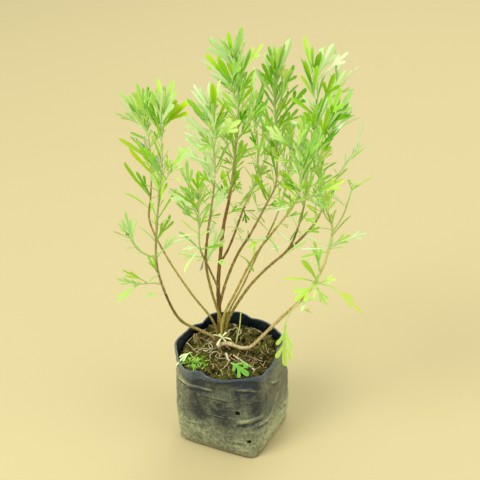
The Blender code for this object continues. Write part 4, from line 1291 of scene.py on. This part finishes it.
        (2.2, 80, 16, 292, "simple", 0, 11), (3.1, 115, 24, 309, "simple", 2, 8),
        (3.8, 109, 26, 332, "simple", 2, 8), (3.9, 131, 31, 345, "simple", 8, 8),
        (4.2, 123, 27, 351, "simple", 8, 7), (4.7, 135, 36, 355, "simple", 3, 8),
        (4.8, 141, 34, 358, "simple", 9, 7), (4.8, 150, 32, 357, "simple", 9, 7),
    ),
    "upper_right": (
        (3.5, 80, 14, 250, "simple", 6, 8), (4.3, 40, -2, 245, "simple", 9, 6),
        (4.3, 47, -3, 268, "simple", 9, 6), (5.0, 61, -10, 261, "simple", 0, 14),
        (5.2, 80, -15, 300, "simple", 0, 10), (5.9, 69, -16, 287, "simple", 1, 11),
        (6.2, 83, -23, 342, "simple", 0, 10), (6.4, 86, -25, 327, "simple", 1, 10),
        (6.7, 68, -34, 364, "simple", 5, 9), (7.2, 82, -35, 382, "three", 5, 10),
        (7.3, 65, -42, 397, "simple", 7, 10), (7.7, 68, -46, 408, "simple", 8, 10),
    ),
    "front_right": (
        (4.0, 57, -33, 275, "simple", 9, 6), (4.3, 45, -39, 294, "simple", 3, 7),
        (4.4, 62, -44, 298, "simple", 5, 7), (5.0, 44, -51, 321, "simple", 9, 8),
        (5.1, 54, -52, 330, "simple", 1, 11), (5.2, 42, -46, 325, "three", 1, 10),
        (5.2, 51, -54, 343, "simple", 0, 14), (5.5, 51, -58, 355, "simple", 0, 10),
        (5.7, 78, -56, 358, "simple", 1, 11), (5.8, 50, -63, 372, "simple", 0, 11),
        (6.3, 61, -57, 381, "simple", 7, 10), (6.7, 64, -60, 394, "simple", 7, 10),
        (6.8, 75, -67, 397, "simple", 3, 10),
    ),
    "back_right": (
        (5.0, 48, 70, 296, "simple", 3, 9), (5.5, 54, 78, 315, "simple", 9, 11),
        (5.9, 72, 86, 332, "simple", 5, 10), (6.2, 57, 82, 352, "simple", 3, 10),
        (6.5, 68, 83, 364, "simple", 8, 10), (6.8, 60, 86, 365, "simple", 6, 9),
    ),
}
VIEWED_FROM, PICKED_YAW, PICKED_CURL = Vector((0, -1, 0.45)), 0.8, (-0.06, 0.14)
PICKED_BREADTH, TURNED_OVER = 0.083, 5
FARTHEST = 151.5


def add_leaf(leaves, shape):
    """Joins a leaf in, unless it stands out too far at the plant's right."""
    if max(corner.co.x for corner in shape.verts) > FARTHEST:
        shape.free()
    else:
        join_in(leaves, shape)


def leaf_tint(name, share, draw):
    """How bright, how silvery and how yellow a leaf is. The young ones near a tip are paler."""
    silver = SILVER.get(name, USUAL_SILVER) * SILVER_SPREAD * draw.random() ** 1.5
    silver += YOUNG_SILVER * share
    return draw.random(), min(silver, MOST_SILVER), draw.random() ** 3


def blade_tree(shape):
    """The surface of a leaf past its stalk, for keeping other leaves clear of it."""
    blade = shape.verts.layers.float_vector["blade"]
    shape.verts.index_update()
    faces = [[corner.index for corner in face.verts] for face in shape.faces
             if min(corner[blade].y for corner in face.verts) > FOOT_FREE]
    return BVHTree.FromPolygons([corner.co.copy() for corner in shape.verts], faces)


def clear_shape(leaf, form, length, curl, look, solids, placed):
    """The leaf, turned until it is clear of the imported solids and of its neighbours, or None."""
    near = [tree for spot, tree in placed if (leaf["place"] - spot).length < NEAR]
    for extra_turn in TURNS_TRIED:
        draw = random.Random(look)
        shape = shaped_leaf(form, length, curl, leaf_tint(leaf["name"], leaf["share"], draw), draw)
        shape.transform(leaf_pose(leaf, extra_turn))
        probe = blade_tree(shape)
        if not any(probe.overlap(tree) for tree in solids + near):
            placed.append((leaf["place"], probe))
            return shape
        shape.free()
    return None


def tuft(name, number, route):
    """Young leaves that crowd round the tip of a stem's leafy stretch."""
    draw = random.Random(f"{name} {number} tip")
    axis, tip = direction(route, len(route) - 1), Vector(route[-1])
    turn = draw.uniform(0, math.tau)
    count = TWIG_TIP_LEAVES if number else TIP_LEAVES
    for share in (index / count for index in range(count)):
        lean = between(*reversed(TIP_LEANS), share) + draw.uniform(-5, 5)
        leaf = {"place": tip - axis * (1 - share) * TIP_SPAN, "axis": axis, "turn": turn,
                "lean": math.radians(lean)}
        turn += GOLDEN_TURN
        shape = shaped_leaf(draw.choice(TIP_FORMS),
                            between(*reversed(TIP_LENGTH), share) * draw.uniform(0.8, 1.1),
                            draw.uniform(-0.12, 0.08), leaf_tint(name, 1, draw), draw, THIN_LEAF)
        shape.transform(leaf_pose(leaf, 0))
        yield shape


def picked_leaves(name, stem, placed):
    """The leaves that stand out. The silvery ones show their undersides to the front."""
    draw = random.Random(f"{name} picked")
    for at, x, y, z, form, silver, broad in PICKED.get(name, ()):
        foot = route_place(stem["route"], at)
        along = Vector((x, y, z)) - foot
        tint = (draw.random(), silver / 10 * draw.uniform(0.7, 1.1), draw.random() ** 3)
        shape = shaped_leaf(form, along.length, draw.uniform(*PICKED_CURL), tint, draw,
                            broad=PICKED_BREADTH * broad)
        face = VIEWED_FROM if silver < TURNED_OVER else -VIEWED_FROM
        face = Matrix.Rotation(draw.uniform(-PICKED_YAW, PICKED_YAW), 3, "Z") @ face
        shape.transform(leaf_frame(foot, along.normalized(), face))
        placed.append((foot, blade_tree(shape)))
        yield shape


def lower_leaves(name, stem, solids, placed):
    """Older leaves, few and drooping, on the stretch of bare wood below the leafy one."""
    draw = random.Random(f"{name} lower")
    turn = draw.uniform(0, math.tau)
    for number in range(LOWER_LEAVES):
        at = stem["leafy"] - LOWER_REACH * draw.random() ** 1.4
        foot = route_place(stem["route"], at)
        if foot.z < LOWEST:
            continue
        leaf = {"place": foot, "axis": direction(stem["route"], at),
                "turn": turn, "lean": math.radians(draw.uniform(*LOWER_LEAN)), "share": 0,
                "name": name}
        turn += GOLDEN_TURN
        shape = clear_shape(leaf, draw.choice(MORE_FORMS), draw.uniform(*LOWER_LENGTH),
                            draw.uniform(*LOWER_CURL), f"{name} lower {number}", solids, placed)
        if shape:
            yield shape


def make_leaves(name, stem, solids, placed):
    """All the leaves of one stem: those of its solid, and others that fill in among them."""
    own_tree = solid_tree(f"shoot_{name}")
    leaves = no_leaves()
    for shape in picked_leaves(name, stem, placed):
        add_leaf(leaves, shape)
    for number, (route, _, first, count, _) in enumerate(leafy_stretches(name, stem)):
        last = len(route) - 1
        draw = random.Random(f"{name} {number} look")
        for leaf in leaf_rule(f"{name} {number}", route, first, last, count):
            seat = seated_as_solid(leaf, own_tree)
            if seat:
                pose, length = seat
                shape = shaped_leaf(leaf["form"], length, leaf["curl"],
                                    leaf_tint(name, leaf["share"], draw), draw)
                shape.transform(pose)
                add_leaf(leaves, shape)
            if draw.random() < AXIL_SHARE:
                axil = {**leaf, "lean": leaf["lean"] * AXIL_LEAN, "turn": leaf["turn"] + AXIL_TURN}
                shape = shaped_leaf("simple", draw.uniform(*AXIL_LENGTH), draw.uniform(-0.1, 0.1),
                                    leaf_tint(name, 1, draw), draw, THIN_LEAF)
                shape.transform(leaf_pose(axil, 0))
                add_leaf(leaves, shape)
        more = round(count * (MORE_ON_TWIGS if count == TWIG_LEAVES else MORE_LEAVES))
        for index, leaf in enumerate(leaf_rule(f"{name} {number} more", route, first, last, more)):
            leaf["name"] = name
            leaf["lean"] *= draw.uniform(*MORE_LEAN)
            curl = leaf["curl"] + DROOP * (1 - leaf["share"]) * draw.random() ** 2
            shape = clear_shape(leaf, draw.choice(MORE_FORMS),
                                leaf["length"] * draw.uniform(*MORE_SIZE), curl,
                                f"{name} {number} {index}", solids, placed)
            if shape:
                add_leaf(leaves, shape)
        for shape in tuft(name, number, route):
            add_leaf(leaves, shape)
    for shape in lower_leaves(name, stem, solids, placed):
        add_leaf(leaves, shape)
    return leaves


def make_rods(name, stem):
    """The leafy stretches' own rods, brown at their feet and green at their tips."""
    shape, _ = no_wood()
    for number, (route, start, _, _, radii) in enumerate(leafy_stretches(name, stem)):
        foot = GREEN_STEM if number else stem["bark"][-1]
        middle = tuple(between(*pair, 0.5) for pair in zip(foot, GREEN_STEM))
        seam = 0 if number else SEAT_GAP / 60
        join_in(shape, stem_rod(f"{name} {number} rod", route, radii, GREEN_STEP, GREEN_SIDES,
                                (foot, middle, GREEN_TIP), first=start - seam))
    return shape


leaf_upper = leaf_finish("leaf_upper", (0.095, 0.360, 0.001), (0.340, 0.680, 0.003),
                         (0.630, 0.840, 0.350), (0.530, 0.750, 0.002))
leaf_under = leaf_finish("leaf_under", (0.270, 0.580, 0.020), (0.470, 0.750, 0.055),
                         (0.730, 0.890, 0.540), (0.590, 0.770, 0.030))
green_stem = green_stem_finish()
ROOM = [solid_tree(node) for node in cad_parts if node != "soil"]
placed_leaves = []
for name, stem in STEMS.items():
    stem_piece = add_piece(f"stem_{name}", make_rods(name, stem), [green_stem], smooth=60)
    leaves_piece = add_piece(f"leaves_{name}", make_leaves(name, stem, ROOM, placed_leaves),
                             [leaf_upper, leaf_under])
    for piece in (stem_piece, leaves_piece):
        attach(piece, "root")
        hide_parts(f"shoot_{name}")


# Dried leaves
# A few leaves have withered on their stems. They hang there in small bunches, thin, curled and
# dark grey, still held by their stalks.

WITHERED_IN_BUNCH, WITHERED_BREADTH = 5, 0.6

# Each bunch: its stem, the place in its route and where it ends
WITHERED = (("left_back", 7.4, (-108, 56, 378)), ("left_back", 6.4, (-102, 52, 348)),
            ("left", 7.1, (-81, -32, 372)), ("low_front_left", 1.2, (-35, -8, 225)))


def make_withered():
    """All the bunches, each with its leaves spread a little at their ends."""
    draw = random.Random("withered")
    shape = no_leaves()
    for name, at, end in WITHERED:
        foot = route_place(STEMS[name]["route"], at)
        for _ in range(WITHERED_IN_BUNCH):
            along = Vector(end) + Vector([draw.uniform(-3, 3) for _ in range(3)]) - foot
            tint = (draw.random(), draw.random(), 0.4 * draw.random())
            leaf = shaped_leaf("simple", along.length, draw.uniform(-0.3, 0.6), tint, draw,
                               THIN_LEAF, WITHERED_BREADTH)
            leaf.transform(leaf_frame(foot, along.normalized(), VIEWED_FROM))
            join_in(shape, leaf)
    return shape


withered_look = leaf_finish("withered_leaf", (0.150, 0.150, 0.075), (0.260, 0.250, 0.130),
                            (0.420, 0.480, 0.400), (0.260, 0.200, 0.060))
withered = add_piece("withered_leaves", make_withered(), [withered_look, withered_look])
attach(withered, "root")


# The young growth
# Low on the far right stem a soft yellow-green shoot has broken, and a long-stalked leaf hangs
# over the bag's rim. They are the same tissue as the leaves, in yellower greens of their own.

YOUNG_RADIUS = (1.0, 0.7)
YOUNG_FACE = Vector((0, -0.3, 1))
YOUNG_TIP = (0.55, 0.72, 0.16)
YOUNG_AT, YOUNG_ROUTE = 8.5, [(90, -34, 220), (93, -39, 224)]

# Leaves of both: the place on the stalk, the tip, the form, the breadth and how far it bends down
YOUNG_LEAVES = (
    (1.0, (51, -44, 233), "simple", 1.2, 1.80), (1.2, (67, -52, 208), "three", 1.5, 0.08),
    (0.6, (101, -46, 199), "three", 1.0, 0.10), (1.6, (93, -47, 239), "simple", 1.8, 0.15),
    (1.8, (112, -44, 231), "three", 1.4, 0.12), (1.9, (143, -44, 189), "stalked", 1.1, 1.40),
    (1.3, (73, -46, 255), "simple", 1.6, 0.30), (1.5, (86, -55, 214), "simple", 0.9, 0.30),
)
HANGING_AT, HANGING_ROUTE = 7.8, [(68, -34, 190), (61, -39, 183), (57, -42, 172), (56, -43, 160)]
HANGING_LEAVES = (
    (2.9, (57, -45, 118), "five", 0.85, 0.06), (0.9, (86, -45, 189), "stalked", 0.8, 0.10),
)


def aimed(foot, tip, curl, face):
    """Frame and length of a leaf that bends down from its heading and ends at its tip."""
    chord = tip - foot
    lift = Matrix.Rotation(math.atan(curl), 3, chord.cross(face).normalized())
    return leaf_frame(foot, lift @ chord.normalized(), face), chord.length / math.hypot(1, curl)


def young_leaves(at, route, leaves, seed):
    """The stalk, seated on its carrier, and its leaves."""
    carrier = STEMS["far_right"]
    centre = route_place(carrier["route"], at)
    thick = between(*carrier["radius"], at / (len(carrier["route"]) - 1))
    axis = direction(carrier["route"], at)
    out = Vector(route[0]) - centre
    out = (out - axis * out.dot(axis)).normalized()
    route = [centre + out * (thick + SEAT_GAP), *route]
    stalk = stem_rod(f"{seed} stalk", route, YOUNG_RADIUS, 3, 8, (TAN, GREEN_STEM, YOUNG_TIP))
    blades = no_leaves()
    draw = random.Random(seed)
    for at, tip, form, broad, curl in leaves:
        tint = (draw.uniform(0.3, 1), draw.uniform(0, 0.45), draw.uniform(0.3, 1.2))
        foot = route_place(route, at)
        pose, length = aimed(foot, Vector(tip), curl, YOUNG_FACE)
        shape = shaped_leaf(form, length, curl, tint, draw, broad=broad)
        shape.transform(pose)
        join_in(blades, shape)
    return stalk, blades


young_look = leaf_finish("young_leaf", (0.190, 0.520, 0.004), (0.340, 0.630, 0.006),
                         (0.640, 0.790, 0.300), (0.530, 0.690, 0.003))
young_look_under = leaf_finish("young_leaf_under", (0.280, 0.600, 0.030), (0.400, 0.680, 0.050),
                               (0.660, 0.860, 0.400), (0.520, 0.720, 0.020))
for node, at, route, leaves in (("young_shoot", YOUNG_AT, YOUNG_ROUTE, YOUNG_LEAVES),
                                ("hanging_leaf", HANGING_AT, HANGING_ROUTE, HANGING_LEAVES)):
    stalk, blades = young_leaves(at, route, leaves, node)
    stalk_piece = add_piece(f"{node}_stalk", stalk, [green_stem], smooth=60)
    blades_piece = add_piece(f"{node}_blades", blades, [young_look, young_look_under])
    for piece in (stalk_piece, blades_piece):
        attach(piece, "root")
        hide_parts(node)


# What lies on the soil
# A fresh leaf has dropped at the front, a weed has come up at the left, and dry roots, twigs,
# bark and a papery flower cup lie about. A thin new stalk stands up beside the crown.

FALLEN_FOOT, FALLEN_TIP = Vector((-4, -26)), Vector((17, -46))
FALLEN_LIFT = 2.2
SEEDLING_PLACE = Vector((-44, -26))
SEEDLING_LEAVES, SEEDLING_SPREAD, SEEDLING_LENGTH = 46, 6.5, (4, 10)
OVER_RIM_FOOT, OVER_RIM_TIP = Vector((-48, -8, 111)), Vector((-67, -28, 107.5))
STRAW, PALE_ROOT, RUST = (0.66, 0.58, 0.28), (0.86, 0.80, 0.52), (0.40, 0.20, 0.05)
WHITE = (0.92, 0.90, 0.66)
DRY_TWIG, DARK_TWIG = (0.52, 0.44, 0.28), (0.12, 0.07, 0.035)

# Curly dry roots: start, heading in degrees, number of steps, curl in degrees a step and radius
ROOTS = (
    ((-7, 27), 70, 16, -19, 0.85), ((-1, 44), -50, 9, -8, 0.7),
    ((-34, 9), -60, 14, 26, 0.6), ((-24, 1), 200, 13, -31, 0.6), ((-30, -5), 20, 15, 24, 0.55),
    ((-27, -15), 110, 12, -27, 0.6), ((-36, -2), -20, 10, 15, 0.5), ((-20, -9), 250, 11, 22, 0.5),
    ((-44, -3), 15, 9, -6, 0.6), ((-50, 2), -40, 8, 12, 0.5), ((30, 30), 160, 9, 9, 0.5),
    ((12, 38), -20, 12, 11, 0.5), ((40, -6), 120, 8, -12, 0.45), ((-14, -34), 10, 9, 17, 0.5),
)
ROOT_STEP = 2.4

# Twigs: both ends on the soil, how far each end stands above it, radius and colours
TWIGS = (
    ((-10, -11), (-5, -22), 4, 1, 1.7, (WHITE, PALE_ROOT)),
    ((-1, -12), (24, -38), 4, 2, 1.1, (STRAW, WHITE)),
    ((-48, -13), (-39, -30), 4, 2, 0.6, (STRAW, WHITE)),
    ((-6, -14), (12, -26), 3, 1, 0.7, (RUST, STRAW)),
    ((-30, -18), (-22, -30), 2, 1, 0.6, (DARK_TWIG, STRAW)),
    ((-48, 23), (-34, 33), 1, 3, 1.5, (RUST, RUST)),
    ((-44, 15), (-30, 22), 2, 2, 1.1, (RUST, DARK_TWIG)),
    ((-56, 8), (-40, -6), 5, 1, 0.6, (STRAW, STRAW)),
    ((-50, 34), (-58, 6), 2, 4, 0.5, (STRAW, DRY_TWIG)),
    ((28, 12), (44, 24), 1, 1, 0.7, (DARK_TWIG, DRY_TWIG)),
    ((14, -12), (34, -20), 1, 1, 0.8, (DARK_TWIG, DRY_TWIG)),
)
STALK_ROUTE = [(2, 8, 107), (3.5, 8, 121), (6.5, 8, 136), (8, 7, 156)]
STALK_RADIUS, STALK_TONES = (0.9, 0.6), ((0.52, 0.56, 0.16), (0.66, 0.72, 0.12))
CUP_PLACE, CUP_LOBES, CUP_REACH = Vector((-14, 0, 127)), 6, 9
LITTER, LITTER_SIZE, LITTER_THICK, LITTER_FOOT = 230, (3, 11), 0.3, 0.7

# How far each keeps off the film
ROOT_GAP, TWIG_GAP, LITTER_GAP = 4, 3, 3


def on_soil(x, y, above):
    """A point above the soil's surface."""
    return Vector((x, y, ground(x, y) + above))


def make_roots():
    """Curly dry roots that arch over the soil."""
    shape, _ = no_wood()
    draw = random.Random("dry roots")
    for start, heading, steps, curl, thick in ROOTS:
        x, y = start
        heading = math.radians(heading)
        route = []
        for step in range(steps):
            arch = math.sin(math.pi * step / (steps - 1))
            route.append(tuple(on_soil(x, y, 0.2 + arch * draw.uniform(1.5, 4.5))))
            x += ROOT_STEP * math.cos(heading)
            y += ROOT_STEP * math.sin(heading)
            x, y = kept_in(x, y, ROOT_GAP)
            heading += math.radians(curl * draw.uniform(0.4, 1.7))
        join_in(shape, stem_rod(f"root at {start}", route, (thick, thick * 0.5), 1.6, 6,
                                (PALE_ROOT, STRAW, PALE_ROOT)))
    return shape


def make_twigs():
    """Short straight twigs and scraps of bark."""
    shape, _ = no_wood()
    draw = random.Random("twigs")
    for start, end, low, high, thick, tones in TWIGS:
        route = []
        for share in (0, 0.35, 0.7, 1):
            x, y = between(start[0], end[0], share), between(start[1], end[1], share)
            x, y = kept_in(x + draw.uniform(-0.8, 0.8), y, TWIG_GAP)
            route.append(tuple(on_soil(x, y, between(low, high, share) * 0.5 + thick)))
        join_in(shape, stem_rod(f"twig at {start}", route, (thick, thick * 0.6), 2.5, 7, tones))
    return shape


def make_litter():
    """Dry scraps of old leaves, bent and strewn flat on the soil."""
    draw = random.Random("litter")
    shape = no_leaves()
    for _ in range(LITTER):
        spot = soil_spot(draw, 0.9)
        turn, long = draw.uniform(0, math.tau), draw.uniform(*LITTER_SIZE)
        end = kept_in(spot.x + long * math.cos(turn), spot.y + long * math.sin(turn), LITTER_GAP)
        foot = on_soil(spot.x, spot.y, LITTER_FOOT)
        run = on_soil(*end, draw.uniform(0.2, 3.5)) - foot
        tint = (draw.random(), 0.3 * draw.random(), draw.random())
        scrap = shaped_leaf("simple", run.length, draw.uniform(-0.5, 0.3), tint, draw, LITTER_THICK)
        scrap.transform(leaf_frame(foot, run.normalized(), UP))
        join_in(shape, scrap)
    return shape


def make_cup():
    """A papery flower cup: a ring of pointed lobes, lying open."""
    draw = random.Random("cup")
    shape = no_leaves()
    for number in range(CUP_LOBES):
        turn = number * math.tau / CUP_LOBES
        along = Vector((math.cos(turn), math.sin(turn), draw.uniform(-0.2, 0.5))).normalized()
        lobe = shaped_leaf("simple", CUP_REACH * draw.uniform(0.8, 1.4), 0.2,
                           (draw.random(), 0.5, 0.5), draw, THIN_LEAF, draw.uniform(1.6, 2.4))
        lobe.transform(leaf_frame(CUP_PLACE, along, UP))
        join_in(shape, lobe)
    return shape


def make_weed():
    """A mat of small leaves that point all ways."""
    draw = random.Random("weed")
    shape = no_leaves()
    for number in range(SEEDLING_LEAVES):
        turn = number * GOLDEN_TURN
        spot = SEEDLING_PLACE + Vector([draw.gauss(0, SEEDLING_SPREAD) for _ in range(2)])
        along = Vector((math.cos(turn), math.sin(turn), draw.uniform(0.2, 1.6))).normalized()
        tint = (draw.random() ** 3, draw.uniform(0, 0.15), draw.random() ** 4)
        leaf = shaped_leaf(draw.choice(TIP_FORMS), draw.uniform(*SEEDLING_LENGTH),
                           draw.uniform(0, 0.4), tint, draw, broad=draw.uniform(1.2, 2.0))
        leaf.transform(leaf_frame(on_soil(*spot, 0.5), along, UP))
        join_in(shape, leaf)
    return shape


def make_single_leaf(form, foot, tip, curl, tint, broad):
    """A leaf by itself, from its foot to its tip."""
    pose, length = aimed(foot, tip, curl, UP)
    shape = shaped_leaf(form, length, curl, tint, random.Random(form), broad=broad)
    shape.transform(pose)
    return shape


fallen = make_single_leaf("five", on_soil(*FALLEN_FOOT, FALLEN_LIFT),
                          on_soil(*FALLEN_TIP, FALLEN_LIFT), 0.0, (0.0, 0.1, 0.0), 1.5)
over_rim = make_single_leaf("three", OVER_RIM_FOOT, OVER_RIM_TIP, 0.9, (0.6, 0.6, 0.3), 0.9)
stalk = stem_rod("new stalk", STALK_ROUTE, STALK_RADIUS, 3, 8, STALK_TONES)
dry_look = leaf_finish("dry_leaf", (0.130, 0.090, 0.020), (0.480, 0.380, 0.110),
                       (0.760, 0.700, 0.380), (0.330, 0.200, 0.040))
cup_look = leaf_finish("papery_cup", (0.560, 0.640, 0.200), (0.700, 0.760, 0.280),
                       (0.840, 0.880, 0.520), (0.700, 0.700, 0.240))
dry_roots = add_piece("dry_roots", make_roots(), [bark], smooth=60)
dry_twigs = add_piece("dry_twigs", make_twigs(), [bark], smooth=60)
litter = add_piece("leaf_litter", make_litter(), [dry_look, dry_look])
cup = add_piece("papery_cup", make_cup(), [cup_look, cup_look])
new_stalk = add_piece("new_stalk", stalk, [green_stem], smooth=60)
leaf_on_rim = add_piece("leaf_on_rim", over_rim, [leaf_under, leaf_under])
fallen_leaf = add_piece("fresh_fallen_leaf", fallen, [leaf_upper, leaf_under])
weed = add_piece("weed_leaves", make_weed(), [leaf_upper, leaf_under])
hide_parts("fallen_leaf")
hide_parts("weed_seedling")
for piece, slot in ((dry_roots, "bark"), (dry_twigs, "bark"), (litter, "soil"), (cup, "soil"),
                    (new_stalk, "young_leaf"), (leaf_on_rim, "young_leaf"),
                    (fallen_leaf, "young_leaf"), (weed, "young_leaf")):
    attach(piece, "root")


# The stage
# A plain pale floor under broad soft lights, seen from where the photograph was taken.

CAMERA_PLACE = (0.007, -1.188, 0.923)
CAMERA_PITCH = 29.3
CAMERA_LENS = 92.3
FLOOR_COLOUR, FLOOR_SIZE = (0.565, 0.485, 0.240), 6000
WORLD_COLOUR, WORLD_STRENGTH = (1.0, 0.98, 0.92), 0.79

# Lights: name, place and size in metres, and power in watts. All aim at the plant's middle.
AIMED_AT = Vector((0, 0, 0.22))
LIGHTS = (
    ("key", (-1.3, -1.0, 2.0), 1.1, 40),
    ("fill", (1.7, -0.9, 1.3), 1.8, 14),
    ("back", (0.6, 1.7, 1.8), 1.4, 17),
)


def add_light(name, place, size, power):
    """A square soft box."""
    light = bpy.data.lights.new(name, "AREA")
    light.size = size
    light.energy = power
    lamp = bpy.data.objects.new(name, light)
    lamp.location = place
    lamp.rotation_euler = (AIMED_AT - lamp.location).to_track_quat("-Z", "Y").to_euler()
    bpy.context.scene.collection.objects.link(lamp)


floor_shape = bmesh.new()
bmesh.ops.create_grid(floor_shape, x_segments=1, y_segments=1, size=FLOOR_SIZE)
floor_look, _, floor_shader = new_finish("floor", 0.8)
floor_shader.inputs["Base Color"].default_value = (*FLOOR_COLOUR, 1)
floor = add_piece("floor", floor_shape, [floor_look])

for setup in LIGHTS:
    add_light(*setup)

world = bpy.data.worlds.new("studio")
world.use_nodes = True
background = world.node_tree.nodes["Background"]
background.inputs["Color"].default_value = (*WORLD_COLOUR, 1)
background.inputs["Strength"].default_value = WORLD_STRENGTH
bpy.context.scene.world = world
bpy.context.scene.view_settings.view_transform = "Standard"

view = bpy.data.cameras.new("view")
view.lens = CAMERA_LENS
camera = bpy.data.objects.new("view", view)
camera.location = CAMERA_PLACE
camera.rotation_euler = (math.radians(90 - CAMERA_PITCH), 0, 0)
bpy.context.scene.collection.objects.link(camera)
bpy.context.scene.camera = camera
